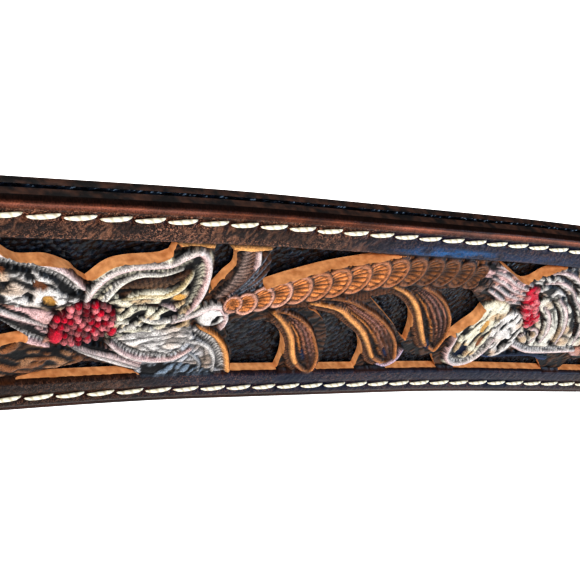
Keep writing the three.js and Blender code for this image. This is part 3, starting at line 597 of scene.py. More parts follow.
patch([(43.5, 19), (46, 21), (50.5, 18), (51.5, 13), (49, 10), (45.5, 10.5), (43.6, 14)], WHITE, 0.35, -0.2, 75, 2.2,
      0.6, 0.34, seed=63)
patch([(44, 31.2), (50, 31.4), (58, 31), (62, 28), (58, 24), (51, 24.5), (46, 27)], WHITE, 0.35, -0.25, -30, 1.8, 0.6,
      0.42, seed=65)
patch([(50, 24), (56, 25.6), (63, 24), (68, 19), (69, 12.5), (60, 11.4), (52, 12.4), (50, 17)], (0.70, 0.66, 0.58), 0.4,
      -0.25, -48, 4.2, 0.9, 0.42, seed=67)
patch([(60, 27), (64, 30), (70, 29.4), (76, 26), (76, 19), (70, 18), (64, 21)], WHITE, 0.35, -0.25, -20, 3.2, 0.7, 0.34,
      seed=69)
patch([(66, 12), (69, 16), (74, 17.6), (79, 15), (78, 10.4), (72, 8.6)], PINK_WHITE, 0.35, -0.25, 10, 3.2, 0.7, 0.34,
      seed=71)
rimmed([(36.4, 14.5, 0.4), (37.2, 10.2, 0.5), (40, 8.1, 0.55), (43.2, 8.7, 0.55), (45, 11.4, 0.5), (45.2, 14.6, 0.3)],
       1, 1.2, (PINK_WHITE, WHITE))
rimmed([(50.6, 13.2, 0.45), (55, 11.8, 0.5), (60, 11.8, 0.5), (67, 12.4, 0.45)], 1, 1.2, (PINK_WHITE, WHITE))
for route in ([(51.5, 22.6, 0.3), (54.5, 20.2, 0.5), (56.4, 17, 0.5), (56.8, 14.2, 0.3)],
              [(53.5, 24.6, 0.3), (57.4, 21.8, 0.5), (60, 18, 0.5), (61, 14, 0.3)],
              [(57, 25, 0.3), (61.4, 22, 0.5), (64.4, 18, 0.5), (65.4, 14, 0.3)],
              [(51, 15.2, 0.3), (52.8, 17.2, 0.4), (54.6, 16.2, 0.4), (54.4, 14, 0.3)],
              [(46.6, 29.6, 0.3), (50, 30.4, 0.45), (54.6, 29.2, 0.45), (58.4, 26.6, 0.3)],
              [(47.6, 27.8, 0.3), (51, 28.2, 0.45), (55, 26.8, 0.4), (57.4, 24.8, 0.3)]):
    ribbon(route, (WHITE, PINK_WHITE), 0.25, -0.05, line=0.28)
    ribbon([(x - 1.0, y - 0.7, h * 0.8) for x, y, h in route], (BLACK, DARK_BROWN), 0.0, -0.4, ticks=0.7, line=0.1)
# A painted dark blue sheen in the hollow of the second flower's lower petal.
spot(40, 11.2, 1.3, 1.5, DARK_BLUE_SHEEN, -0.5, cut=0.4)
spot(48, 13.4, 1.0, 1.3, BLACK, -0.5, cut=0.4)
spot(41, 17.4, 0.7, 1.6, OCHRE, -0.1, turn=10)
spot(42.4, 13.6, 0.5, 1.2, BROWN, -0.2)
ribbon([(46, 25.8, 1.2), (48.4, 22.4, 1.7), (51, 18.8, 1.2)], (SEED_RED, SEED_RED), 0.3, -0.2)
for k in range(34):
    t = chance.random()
    off = (chance.random() - 0.5) * 3.0
    spot(45.8 + 5.4 * t + off * 0.75, 26 - 7.4 * t + off * 0.55, 0.62, 0.55,
         SEED_RED if chance.random() < 0.4 else SEED_PINK, 0.0, 0.45)

# The borders are left high: dark, scuffed along the grain, creased near the edge and dented by the thread, with painted
# shade in the crease and the holes and a painted highlight along the upper bead
STITCH_LOW = 3.2
STITCH_HIGH = 35.4
STITCH_PITCH = 4.67
BORDER_TONE = np.array((0.012, 0.006, 0.005))
SCUFF_TONE = np.array((0.30, 0.14, 0.08))
BEAD_TONE_AND_SHINE = np.array((0.27, 0.075, 0.028))
TRUE_ALONG = ALONG + PHOTO_TRAVEL


def border(travel, up):
    """Height and paint of the plain leather at each side of the panel, and of the plain ends."""
    scuff = np.maximum(scratches(travel, up, 64, 0.9, 0.3, 0.30, 81), scratches(travel, up, 118, 0.8, 0.3, 0.26, 82))
    patchy = smooth((grain(travel / 7, up / 2.4, 83) - 0.25) / 0.6)
    # Scuffs show less on the lower border, so it is darker than the upper one.
    worn = scuff * patchy * np.where(up > BELT_WIDTH / 2, 0.62, 0.3)
    worn = worn * (1 - smooth((np.abs(up - BELT_WIDTH / 2) - 17.2) / 0.4))
    tone = BORDER_TONE + (SCUFF_TONE - BORDER_TONE) * worn[..., None]
    # The bead along the rounded edge is partly the burnished edge's own reddish colour and partly painted highlight, so
    # it is strong on the upper edge and faint on the lower. A pink painted highlight line runs along its middle.
    from_bead = np.abs(np.abs(up - BELT_WIDTH / 2) - 17.8)
    bead_shine = np.exp(-(from_bead / 0.3) ** 2)
    bead_tone = BEAD_TONE_AND_SHINE * (0.6 + 2.2 * grain(travel / 4, up, 85))[..., None]
    bead_highlight = smooth((grain(travel / 15, travel * 0, 86) - 0.42) / 0.25) * np.exp(-(from_bead / 0.17) ** 2)
    bead_tone = bead_tone * 0.9 + np.array((0.62, 0.30, 0.24)) * bead_highlight[..., None]
    bead_shine = bead_shine * np.where(up > BELT_WIDTH / 2, 1.0, 0.15)
    tone = tone * (1 - bead_shine[..., None]) + bead_tone * bead_shine[..., None]
    level = -0.05 * scuff * (1 - smooth((np.abs(up - BELT_WIDTH / 2) - 17.2) / 0.4))
    for row, first in ((STITCH_LOW, 0.7), (STITCH_HIGH, 0.2)):
        off = np.abs(up - row)
        level = level - 0.22 * np.exp(-(off / 0.8) ** 2)
        phase = (travel - PHOTO_TRAVEL - first) / STITCH_PITCH
        hole = np.hypot((phase - np.round(phase)) * STITCH_PITCH, off)
        level = level - 0.35 * np.exp(-(hole / 0.5) ** 2)
        # Painted shade: the thread holes and the stitch groove are darkened.
        dark = 0.9 * np.exp(-(hole / 0.6) ** 2) + 0.25 * np.exp(-(off / 0.7) ** 2)
        tone = tone * (1 - np.clip(dark, 0, 1))[..., None] + np.array((0.03, 0.006, 0.004)) * np.clip(dark, 0, 1)[..., None]
    # The crease line near each edge is sunk and darkened with painted shade.
    for crease in (1.25, BELT_WIDTH - 1.25):
        near = np.exp(-((up - crease) / 0.22) ** 2)
        level = level - 0.28 * near
        tone = tone * (1 - 0.75 * near)[..., None]
    return level, tone


plain_height, plain_tone = border(TRUE_ALONG, UP)
outside = np.clip(np.maximum(PANEL_LOW - UP, UP - PANEL_HIGH) / 0.3, 0, 1)
groove *= 1 - outside
paint = paint * (1 - outside[..., None]) + plain_tone * outside[..., None]
height = height * (1 - outside) + plain_height * outside
# A groove along each edge of the panel, darkened with painted shade.
for line in (PANEL_LOW + 0.15, PANEL_HIGH + 0.15):
    near = np.exp(-((UP - line) / 0.2) ** 2)
    height -= 0.25 * near
    paint *= (1 - 0.8 * near)[..., None]
# Painted reflection: towards the right of each repeat the borders are tinted dark navy, and a brighter blue sheen is
# painted along the upper border just above the panel.
navy_sheen = smooth((ALONG + np.where(UP < BELT_WIDTH / 2, 26, 4)) / 22) * smooth((REPEAT_TO + 2 - ALONG) / 12) * outside
navy_sheen *= 1 - smooth((np.abs(UP - BELT_WIDTH / 2) - 16.9) / 0.5)
paint = paint * (1 - 0.8 * navy_sheen[..., None]) + navy_sheen[..., None] * np.array((0.002, 0.009, 0.028))
blue_sheen = smooth((ALONG - 8) / 12) * smooth((56 - ALONG) / 8) * smooth((UP - 31.9) / 0.5) * smooth((34.2 - UP) / 1.2)
blue_sheen *= (0.2 + 0.8 * smooth((34 - ALONG) / 7)) * smooth((grain(ALONG / 2.2, UP / 0.45, 87) - 0.15) / 0.5)
paint = paint * (1 - 0.8 * blue_sheen[..., None]) + blue_sheen[..., None] * np.array((0.002, 0.085, 0.22))

# Paint lies on the high places and the dark finish stays in the cuts
fine = 0.72 + 0.5 * grain(ALONG / 0.6, UP / 0.6, 91)
finished = paint * fine[..., None] * (1 - groove)[..., None] + np.array(BLACK) * groove[..., None]
height -= 0.22 * groove
keep = np.s_[:, round(BOARD_SPARE / BOARD_STEP):-round(BOARD_SPARE / BOARD_STEP)]
board_height, board_tone = height[keep], finished[keep]

WINDOWS = (
    ((11.5, 100), (14.3, 92), (17.3, 85), (21, 85), (24.5, 80), (26, 75), (27.7, 71), (29.5, 81), (32, 85),
     (36.4, 87), (37.9, 90), (38, 100)),
    ((43.5, 99), (44.8, 86), (45.7, 74), (46.7, 62), (47.7, 75.5), (48.5, 82.5), (48, 90), (46.7, 98)),
    ((52.2, 100), (53.8, 86), (53.7, 76), (54.8, 70), (58.9, 78), (64.5, 87), (72, 95), (76.5, 100)),
    ((51.8, 39.5), (54, 42.5), (58.9, 41.5), (61.2, 37.5), (63.2, 30), (64.6, 21.5), (65.6, 10.5), (66, 0),
     (57.2, 0), (56, 15), (54, 26)),
    ((64.5, 53.5), (68, 51), (71, 46), (74, 40.5), (76.8, 33.5), (79.2, 24.5), (80.8, 14.5), (81.6, 0),
     (73.7, 0), (73, 14), (71.8, 28), (70.2, 39), (67.5, 48)),
    ((74.5, 66), (77.5, 66.5), (80, 65), (82.5, 61), (84.5, 55), (86.1, 49), (87.6, 39), (88.8, 25), (86.5, 31),
     (84.5, 38), (82, 45), (79.5, 52), (77, 58.5)),
    ((88.3, 73.5), (91, 76.5), (93.5, 77), (95, 73), (98.4, 64), (100.6, 58.5), (100.5, 49), (99, 39),
     (96.9, 22), (96.2, 32), (95.3, 43), (93.5, 54), (91.2, 64)),
    ((88.2, 0), (88.6, 10), (89.2, 17), (92.5, 12.5), (95, 11.5), (96.8, 13), (97.8, 8), (99.8, 0)),
    ((103.8, 0), (105.5, 7), (107.5, 11.5), (113.5, 14), (120, 15), (123, 10), (126, 0)),
    ((95.5, 100), (100.5, 91.5), (104.5, 84), (106.7, 84), (108.6, 92), (111, 97), (113.5, 100)),
    ((13.5, 44), (15, 54), (17, 49), (20, 40.5), (22.3, 35), (22.1, 31), (18, 28), (15, 32)),
    ((23.4, 0), (27, 6), (31.7, 11.5), (37, 7), (42, 0)),
    ((118, 100), (121, 92), (126, 86), (131, 88), (136, 94), (139, 100)),
    ((127, 52), (128, 60), (133, 64), (138, 60), (139, 50), (135, 42), (130, 44)),
    ((130.5, 0), (131.5, 12), (135, 19), (138.5, 14), (139.3, 0)),
    ((1, 100), (3, 90), (6, 87), (8.4, 92), (9, 100)),
    ((2, 52), (6, 58), (10, 54), (9, 44), (4, 42)),
    ((1.5, 0), (2, 14), (6, 22), (12, 18), (17, 10), (20, 0)),
)
panel_share = (PANEL_HIGH - PANEL_LOW) / 100


def knife_line(corners):
    """The outline as the knife cuts it: curved through gentle corners and sharp at tight ones."""
    count = len(corners)
    line = []
    sharp = []
    for k in range(count):
        before, after = corners[k] - corners[k - 1], corners[(k + 1) % count] - corners[k]
        cosine = before @ after / (np.linalg.norm(before) * np.linalg.norm(after))
        sharp.append(cosine < 0.62)
    for k in range(count):
        b, c = corners[k], corners[(k + 1) % count]
        a = 2 * b - c if sharp[k] else corners[k - 1]
        d = 2 * c - b if sharp[(k + 1) % count] else corners[(k + 2) % count]
        for t in np.linspace(0, 1, 6, endpoint=False):
            line.append((2 * b + (c - a) * t + (2 * a - 5 * b + 4 * c - d) * t ** 2
                         + (3 * b - a - 3 * c + d) * t ** 3) / 2)
    return np.array(line)


def round_hole(along, long, wide):
    turns = np.linspace(0, 2 * math.pi, 24, endpoint=False)
    return np.column_stack([along + long * np.cos(turns), BELT_WIDTH / 2 + wide * np.sin(turns)])


prong_hole = loop_length - 16
width_share = (BELT_WIDTH / 2 - FRONT_EDGE_INSET) / (END_WIDTH / 2 - FRONT_EDGE_INSET)
strap_holes = [np.array([(-0.74 * fold_length, 19 - 2.1 * width_share), (-0.05 * fold_length, 19 - 2.1 * width_share),
                         (-0.05 * fold_length, 19 + 2.1 * width_share), (-0.74 * fold_length, 19 + 2.1 * width_share)]),
               round_hole(prong_hole, 4.4, 2.2 * width_share)]
for k in (-2, -1, 1, 2):
    strap_holes.append(round_hole(prong_hole + 25 * k, 2.2, 2.2 * width_share))
tooled_holes = []
for repeat in range(REPEAT_COUNT):
    for window in WINDOWS:
        corners = np.array(window, float)
        tooled_holes.append(knife_line(np.column_stack([PLAIN_START + repeat * REPEAT_LENGTH + corners[:, 0],
                                                        PANEL_LOW + corners[:, 1] * panel_share])))


def within(points, outline):
    inside = np.zeros(len(points), bool)
    low, high = outline.min(0), outline.max(0)
    close = np.flatnonzero(((points >= low) & (points <= high)).all(1))
    x, y = points[close, 0][:, None], points[close, 1][:, None]
    start, end = outline, np.roll(outline, -1, 0)
    rise = np.where(start[:, 1] == end[:, 1], 1e-9, end[:, 1] - start[:, 1])
    crosses = ((start[:, 1] > y) != (end[:, 1] > y)) & (
        x < start[:, 0] + (y - start[:, 1]) * (end[:, 0] - start[:, 0]) / rise)
    inside[close] = crosses.sum(1) % 2 == 1
    return inside


def pull_to(points, outline, reach):
    """Moves points that lie within reach of a hole's outline onto it."""
    low, high = outline.min(0) - reach, outline.max(0) + reach
    close = np.flatnonzero(((points >= low) & (points <= high)).all(1))
    if not len(close):
        return
    p = points[close][:, None]
    start = outline[None]
    along = np.roll(outline, -1, 0)[None] - start
    t = np.clip(((p - start) * along).sum(-1) / (along ** 2).sum(-1), 0, 1)[..., None]
    foot = start + along * t
    gap = np.hypot(*(p - foot).transpose(2, 0, 1))
    best = gap.argmin(1)
    rows = np.arange(len(close))
    ok = gap[rows, best] < reach
    points[close[ok]] = foot[rows, best][ok]


def corners_of(piece):
    flat = np.empty(len(piece.data.vertices) * 3)
    piece.data.vertices.foreach_get("co", flat)
    return flat.reshape(-1, 3)


def flat_sheet(name, start, finish, low, high, step, holes):
    """A grid of leather laid flat in millimetres, travel along X and height across along Y, with holes cut."""
    columns, rows = round((finish - start) / step), round((high - low) / step)
    deselect()
    bpy.ops.mesh.primitive_grid_add(x_subdivisions=columns, y_subdivisions=rows, size=1)
    piece = bpy.context.object
    piece.name = name
    piece.data.name = name
    flat = corners_of(piece)
    flat[:, 0] = start + (flat[:, 0] + 0.5) * (finish - start)
    flat[:, 1] = low + (flat[:, 1] + 0.5) * (high - low)
    piece.data.vertices.foreach_set("co", flat.ravel())
    used = [h for h in holes if h[:, 0].max() > start and h[:, 0].min() < finish]
    if used:
        centres = np.empty(len(piece.data.polygons) * 3)
        piece.data.polygons.foreach_get("center", centres)
        centres = centres.reshape(-1, 3)[:, :2]
        cut = np.zeros(len(centres), bool)
        for outline in used:
            cut |= within(centres, outline)
        piece.data.vertices.foreach_set("select", np.zeros(len(flat), bool))
        piece.data.edges.foreach_set("select", np.zeros(len(piece.data.edges), bool))
        piece.data.polygons.foreach_set("select", cut)
        bpy.ops.object.mode_set(mode="EDIT")
        bpy.ops.mesh.select_mode(type="FACE")
        bpy.ops.mesh.delete(type="FACE")
        bpy.ops.object.mode_set(mode="OBJECT")
        flat = corners_of(piece)
        edge_of = np.empty(len(piece.data.loops), int)
        piece.data.loops.foreach_get("edge_index", edge_of)
        ends = np.empty(len(piece.data.edges) * 2, int)
        piece.data.edges.foreach_get("vertices", ends)
        rim = np.unique(ends.reshape(-1, 2)[np.bincount(edge_of, minlength=len(piece.data.edges)) == 1])
        on_rim = flat[rim, :2].copy()
        for outline in used:
            pull_to(on_rim, outline, step * 0.9)
        flat[rim, :2] = on_rim
        piece.data.vertices.foreach_set("co", flat.ravel())
    return piece


def across_belt(travel, up, inset=0.0):
    """The real height of a nominal one, where the belt narrows to its ends."""
    middle = BELT_WIDTH / 2
    return middle + (up - middle) * (half_width(travel) - inset) / (middle - inset)


def bend_round(piece, inset=0.0):
    """Bends a flat piece round the belt's plan, and keeps its flat places as its UV map, in centimetres."""
    flat = corners_of(piece)
    if not piece.data.uv_layers:
        piece.data.uv_layers.new(name="flat")
    loops = np.empty(len(piece.data.loops), int)
    piece.data.loops.foreach_get("vertex_index", loops)
    piece.data.uv_layers[0].data.foreach_set("uv", (flat[loops, :2] / 10).ravel())
    place = strap_place(flat[:, 0], across_belt(flat[:, 0], flat[:, 1], inset), -flat[:, 2])
    piece.data.vertices.foreach_set("co", place.ravel())
    piece.data.update()


def sample(travel, up):
    """Height and paint of the leather at any place along the belt."""
    level, tone = border(travel, up)
    tooled = (travel > PLAIN_START) & (travel < PLAIN_START + REPEAT_COUNT * REPEAT_LENGTH)
    along = np.mod(travel - PLAIN_START, REPEAT_LENGTH) / BOARD_STEP
    row = np.clip(up / BOARD_STEP, 0, board_height.shape[0] - 1.001)
    i, j = np.minimum(along.astype(int), board_height.shape[1] - 2), row.astype(int)
    fx, fy = np.clip(along - i, 0, 1), row - j
    mixed_height, mixed_tone = 0, 0
    for di, dj, share in ((0, 0, (1 - fx) * (1 - fy)), (1, 0, fx * (1 - fy)), (0, 1, (1 - fx) * fy), (1, 1, fx * fy)):
        mixed_height = mixed_height + share * board_height[j + dj, i + di]
        mixed_tone = mixed_tone + share[..., None] * board_tone[j + dj, i + di]
    level = np.where(tooled, mixed_height, level)
    tone = np.where(tooled[..., None], mixed_tone, tone)
    # Where the tooling ends, a groove across the panel and the panel beside it are darkened with painted shade.
    for end in (PLAIN_START, PLAIN_START + REPEAT_COUNT * REPEAT_LENGTH):
        framed = (up > PANEL_LOW) & (up < PANEL_HIGH)
        line = framed * np.exp(-((travel - end) / 0.4) ** 2)
        shade = framed * tooled * np.exp(-np.abs(travel - end) / 1.6)
        level = level - 0.25 * line
        tone = tone * (1 - 0.8 * line)[..., None] * (1 - 0.7 * shade)[..., None]
    return level, tone


def tooled_length(name, start, finish, step):
    piece = flat_sheet(name, start, finish, FRONT_EDGE_INSET, BELT_WIDTH - FRONT_EDGE_INSET, step,
                       tooled_holes + strap_holes)
    flat = corners_of(piece)
    level, tone = sample(flat[:, 0], flat[:, 1])
    from_edge = np.minimum(flat[:, 1] - FRONT_EDGE_INSET, BELT_WIDTH - FRONT_EDGE_INSET - flat[:, 1])
    worn = np.clip(1.0 - from_edge, 0, 1)
    flat[:, 2] = level - (1.0 - np.sqrt(1 - worn ** 2 + 1e-9))
    piece.data.vertices.foreach_set("co", flat.ravel())
    colours = piece.data.color_attributes.new("paint", "FLOAT_COLOR", "POINT")
    scuffed = smooth((grain(flat[:, 0] / 8, flat[:, 1] / 2.6, 95) - 0.05) / 0.5)
    at_repeat = np.mod(flat[:, 0] - PLAIN_START, REPEAT_LENGTH) + REPEAT_FROM
    scuffed *= 1 - 0.75 * smooth((at_repeat - 4) / 8) * smooth((60 - at_repeat) / 8) * (flat[:, 1] > 31)
    # Scuffs show less on the lower border than on the upper one.
    scuffed *= np.where(flat[:, 1] > BELT_WIDTH / 2, 0.9, 0.35)
    in_border = np.clip((np.abs(flat[:, 1] - BELT_WIDTH / 2) - 12.7) / 0.3, 0, 1)
    in_border *= 1 - smooth((np.abs(flat[:, 1] - BELT_WIDTH / 2) - 17.2) / 0.4)
    colours.data.foreach_set("color", np.column_stack([tone, scuffed * in_border]).ravel())
    bpy.ops.object.mode_set(mode="EDIT")
    bpy.ops.mesh.select_mode(type="EDGE")
    bpy.ops.mesh.select_all(action="DESELECT")
    bpy.ops.mesh.select_non_manifold(extend=False, use_wire=False, use_multi_face=False,
                                     use_non_contiguous=False, use_verts=False)
    bpy.ops.mesh.extrude_region_move(TRANSFORM_OT_translate={"value": (0, 0, -4)})
    bpy.ops.object.mode_set(mode="OBJECT")
    flat = corners_of(piece)
    under = flat[:, 2] < -2.5
    flat[under, 2] = -FRONT_THICKNESS
    piece.data.vertices.foreach_set("co", flat.ravel())
    loops = np.empty(len(piece.data.loops), int)
    piece.data.loops.foreach_get("vertex_index", loops)
    starts = np.empty(len(piece.data.polygons), int)
    piece.data.polygons.foreach_get("loop_start", starts)
    is_wall = np.maximum.reduceat(under[loops].astype(int), starts) > 0
    piece.data.materials.append(tooled_leather)
    piece.data.materials.append(cut_leather)
    piece.data.materials.append(burnished_edge)
    outer = (flat[:, 1] < FRONT_EDGE_INSET + 0.05) | (flat[:, 1] > BELT_WIDTH - FRONT_EDGE_INSET - 0.05)
    is_outer = np.minimum.reduceat(outer[loops].astype(int), starts) > 0
    piece.data.polygons.foreach_set("material_index", np.where(is_wall & is_outer, 2, is_wall))
    piece.data.polygons.foreach_set("select", is_wall)
    bpy.ops.object.mode_set(mode="EDIT")
    bpy.ops.mesh.select_mode(type="FACE")
    bpy.ops.mesh.region_to_loop()
    bpy.ops.mesh.mark_sharp()
    bpy.ops.object.mode_set(mode="OBJECT")
    piece.data.polygons.foreach_set("use_smooth", np.ones(len(piece.data.polygons), bool))
    bend_round(piece, FRONT_EDGE_INSET)
    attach(piece, "root")
    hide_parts("tooled_front_strap")
    return piece


tooled_leather, nodes, links, surface = new_material("tooled_leather")
painted = nodes.new("ShaderNodeVertexColor")
painted.layer_name = "paint"
flat_map = nodes.new("ShaderNodeUVMap")
pores = nodes.new("ShaderNodeTexNoise")
pores.inputs["Scale"].default_value = 18
pores.inputs["Detail"].default_value = 5
links.new(flat_map.outputs["UV"], pores.inputs["Vector"])
flecks = nodes.new("ShaderNodeTexNoise")
flecks.inputs["Scale"].default_value = 55
flecks.inputs["Detail"].default_value = 3
links.new(flat_map.outputs["UV"], flecks.inputs["Vector"])
fleck_range = nodes.new("ShaderNodeMapRange")
fleck_range.inputs["From Min"].default_value = 0.38
fleck_range.inputs["From Max"].default_value = 0.60
fleck_range.inputs["To Min"].default_value = 0.42
links.new(flecks.outputs["Fac"], fleck_range.inputs["Value"])
rubbed = nodes.new("ShaderNodeVectorMath")
rubbed.operation = "SCALE"
links.new(painted.outputs["Color"], rubbed.inputs[0])
links.new(fleck_range.outputs["Result"], rubbed.inputs["Scale"])
hair = nodes.new("ShaderNodeTexNoise")
hair.inputs["Scale"].default_value = 34
hair.inputs["Detail"].default_value = 4
hair.inputs["Distortion"].default_value = 1.6
links.new(flat_map.outputs["UV"], hair.inputs["Vector"])
hair_line = nodes.new("ShaderNodeMapRange")
hair_line.inputs["From Min"].default_value = 0.53
hair_line.inputs["From Max"].default_value = 0.62
links.new(hair.outputs["Fac"], hair_line.inputs["Value"])
hair_share = nodes.new("ShaderNodeMath")
hair_share.operation = "MULTIPLY"
links.new(hair_line.outputs["Result"], hair_share.inputs[0])
links.new(painted.outputs["Alpha"], hair_share.inputs[1])
bare = nodes.new("ShaderNodeMix")
bare.data_type = "RGBA"
bare.inputs["B"].default_value = (0.30, 0.14, 0.085, 1)
links.new(hair_share.outputs["Value"], bare.inputs["Factor"])
links.new(rubbed.outputs["Vector"], bare.inputs["A"])
links.new(bare.outputs["Result"], surface.inputs["Base Color"])
surface.inputs["Specular IOR Level"].default_value = 0.13
shine = nodes.new("ShaderNodeMapRange")
shine.inputs["To Min"].default_value = 0.22
shine.inputs["To Max"].default_value = 0.46
links.new(pores.outputs["Fac"], shine.inputs["Value"])
links.new(shine.outputs["Result"], surface.inputs["Roughness"])
bump = nodes.new("ShaderNodeBump")
bump.inputs["Strength"].default_value = 0.35
bump.inputs["Distance"].default_value = 0.0002
links.new(pores.outputs["Fac"], bump.inputs["Height"])
links.new(bump.outputs["Normal"], surface.inputs["Normal"])

cut_leather, nodes, links, surface = new_material("cut_leather")
flat_map = nodes.new("ShaderNodeTexCoord")
fibres = nodes.new("ShaderNodeTexNoise")
fibres.inputs["Scale"].default_value = 900
fibres.inputs["Detail"].default_value = 4
links.new(flat_map.outputs["Object"], fibres.inputs["Vector"])
tan_ramp = nodes.new("ShaderNodeValToRGB")
tan_ramp.color_ramp.elements[0].color = (0.48, 0.21, 0.085, 1)
tan_ramp.color_ramp.elements[1].color = (0.78, 0.42, 0.20, 1)
tan_ramp.color_ramp.elements[0].position = 0.3
tan_ramp.color_ramp.elements[1].position = 0.7
links.new(fibres.outputs["Fac"], tan_ramp.inputs["Fac"])
links.new(tan_ramp.outputs["Color"], surface.inputs["Base Color"])
surface.inputs["Specular IOR Level"].default_value = 0.2
surface.inputs["Roughness"].default_value = 0.75

burnished_edge, nodes, links, surface = new_material("burnished_edge")
place = nodes.new("ShaderNodeTexCoord")
fibres = nodes.new("ShaderNodeTexNoise")
fibres.inputs["Scale"].default_value = 600
fibres.inputs["Detail"].default_value = 5
links.new(place.outputs["Object"], fibres.inputs["Vector"])
edge_ramp = nodes.new("ShaderNodeValToRGB")
edge_ramp.color_ramp.elements[0].color = (0.006, 0.004, 0.004, 1)
edge_ramp.color_ramp.elements[1].color = (0.070, 0.030, 0.018, 1)
edge_ramp.color_ramp.elements[0].position = 0.38
edge_ramp.color_ramp.elements[1].position = 0.68
links.new(fibres.outputs["Fac"], edge_ramp.inputs["Fac"])
links.new(edge_ramp.outputs["Color"], surface.inputs["Base Color"])
surface.inputs["Roughness"].default_value = 0.5
surface.inputs["Specular IOR Level"].default_value = 0.2
bump = nodes.new("ShaderNodeBump")
bump.inputs["Strength"].default_value = 0.5
bump.inputs["Distance"].default_value = 0.0003
links.new(fibres.outputs["Fac"], bump.inputs["Height"])
links.new(bump.outputs["Normal"], surface.inputs["Normal"])

repeat_from = PHOTO_TRAVEL + REPEAT_FROM
tooled_length("tooled_strap_front", repeat_from, repeat_from + REPEAT_LENGTH, 0.25)
tooled_length("tooled_strap_narrow_bend", -fold_length - TURN_BACK_LENGTH, repeat_from, 0.5)
tooled_length("tooled_strap_wide_bend", repeat_from + REPEAT_LENGTH, repeat_from + 3 * REPEAT_LENGTH, 0.5)
tooled_length("tooled_strap_back", repeat_from + 3 * REPEAT_LENGTH, repeat_from + 5 * REPEAT_LENGTH, 0.5)
tooled_length("tooled_strap_tip", repeat_from + 5 * REPEAT_LENGTH, loop_length + TIP_LENGTH, 0.6)

# The backing strap. It is a softer black leather with a pebbled grain, cut as wide as the belt and glued
# and sewn behind the tooled one, so that it shows through every window.
pebbled_leather, nodes, links, surface = new_material("pebbled_leather")
flat_map = nodes.new("ShaderNodeUVMap")
pebbles = nodes.new("ShaderNodeTexVoronoi")
pebbles.inputs["Scale"].default_value = 9.5
links.new(flat_map.outputs["UV"], pebbles.inputs["Vector"])
mottle = nodes.new("ShaderNodeTexNoise")
mottle.inputs["Scale"].default_value = 14
links.new(flat_map.outputs["UV"], mottle.inputs["Vector"])
black_ramp = nodes.new("ShaderNodeValToRGB")
black_ramp.color_ramp.elements[0].color = (0.0015, 0.003, 0.006, 1)
black_ramp.color_ramp.elements[1].color = (0.011, 0.019, 0.034, 1)
black_ramp.color_ramp.elements[0].position = 0.42
black_ramp.color_ramp.elements[1].position = 0.72
links.new(mottle.outputs["Fac"], black_ramp.inputs["Fac"])
# Painted light on the pebbled grain: each pebble's top is brightened, with a white painted glint at its middle, and the
# gaps between pebbles are darkened as painted shade.
pebble_light_and_shade = nodes.new("ShaderNodeValToRGB")
pebble_light_and_shade.color_ramp.elements[0].color = (1, 1, 1, 1)
pebble_light_and_shade.color_ramp.elements[1].color = (0.04, 0.04, 0.04, 1)
pebble_light_and_shade.color_ramp.elements[0].position = 0.15
glint = pebble_light_and_shade.color_ramp.elements.new(0.04)
glint.color = (2.0, 1.9, 1.7, 1)
pebble_light_and_shade.color_ramp.elements[1].position = 0.42
links.new(pebbles.outputs["Distance"], pebble_light_and_shade.inputs["Fac"])
pebbles_with_painted_light = nodes.new("ShaderNodeMix")
pebbles_with_painted_light.data_type = "RGBA"
pebbles_with_painted_light.blend_type = "MULTIPLY"
pebbles_with_painted_light.inputs["Factor"].default_value = 1
links.new(black_ramp.outputs["Color"], pebbles_with_painted_light.inputs["A"])
links.new(pebble_light_and_shade.outputs["Color"], pebbles_with_painted_light.inputs["B"])
links.new(pebbles_with_painted_light.outputs["Result"], surface.inputs["Base Color"])
surface.inputs["Roughness"].default_value = 0.24
surface.inputs["Specular IOR Level"].default_value = 0.24
bump = nodes.new("ShaderNodeBump")
bump.invert = True
bump.inputs["Strength"].default_value = 0.9
bump.inputs["Distance"].default_value = 0.0005
links.new(pebbles.outputs["Distance"], bump.inputs["Height"])
links.new(bump.outputs["Normal"], surface.inputs["Normal"])

backing = flat_sheet("backing_strap", -fold_length - TURN_BACK_LENGTH, loop_length + TIP_LENGTH, 0, BELT_WIDTH, 1.25,
                     strap_holes)
thicken = backing.modifiers.new("thickness", "SOLIDIFY")
thicken.thickness = BACKING_THICKNESS
thicken.offset = -1
soften = backing.modifiers.new("worn_edges", "BEVEL")
soften.width = 0.35
soften.segments = 2
soften.limit_method = "ANGLE"
soften.angle_limit = math.radians(50)
for modifier in ("thickness", "worn_edges"):
    bpy.ops.object.modifier_apply(modifier=modifier)
flat = corners_of(backing)
flat[:, 2] -= FRONT_THICKNESS + LAYER_GAP
backing.data.vertices.foreach_set("co", flat.ravel())
backing.data.materials.append(pebbled_leather)
backing.data.materials.append(burnished_edge)
facing = np.empty(len(backing.data.polygons) * 3)
backing.data.polygons.foreach_get("normal", facing)
backing.data.polygons.foreach_set("material_index", (np.abs(facing.reshape(-1, 3)[:, 2]) < 0.5).astype(int))
bend_round(backing)
bpy.ops.object.shade_smooth_by_angle(angle=math.radians(45))
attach(backing, "root")
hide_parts("pebbled_backing_strap")

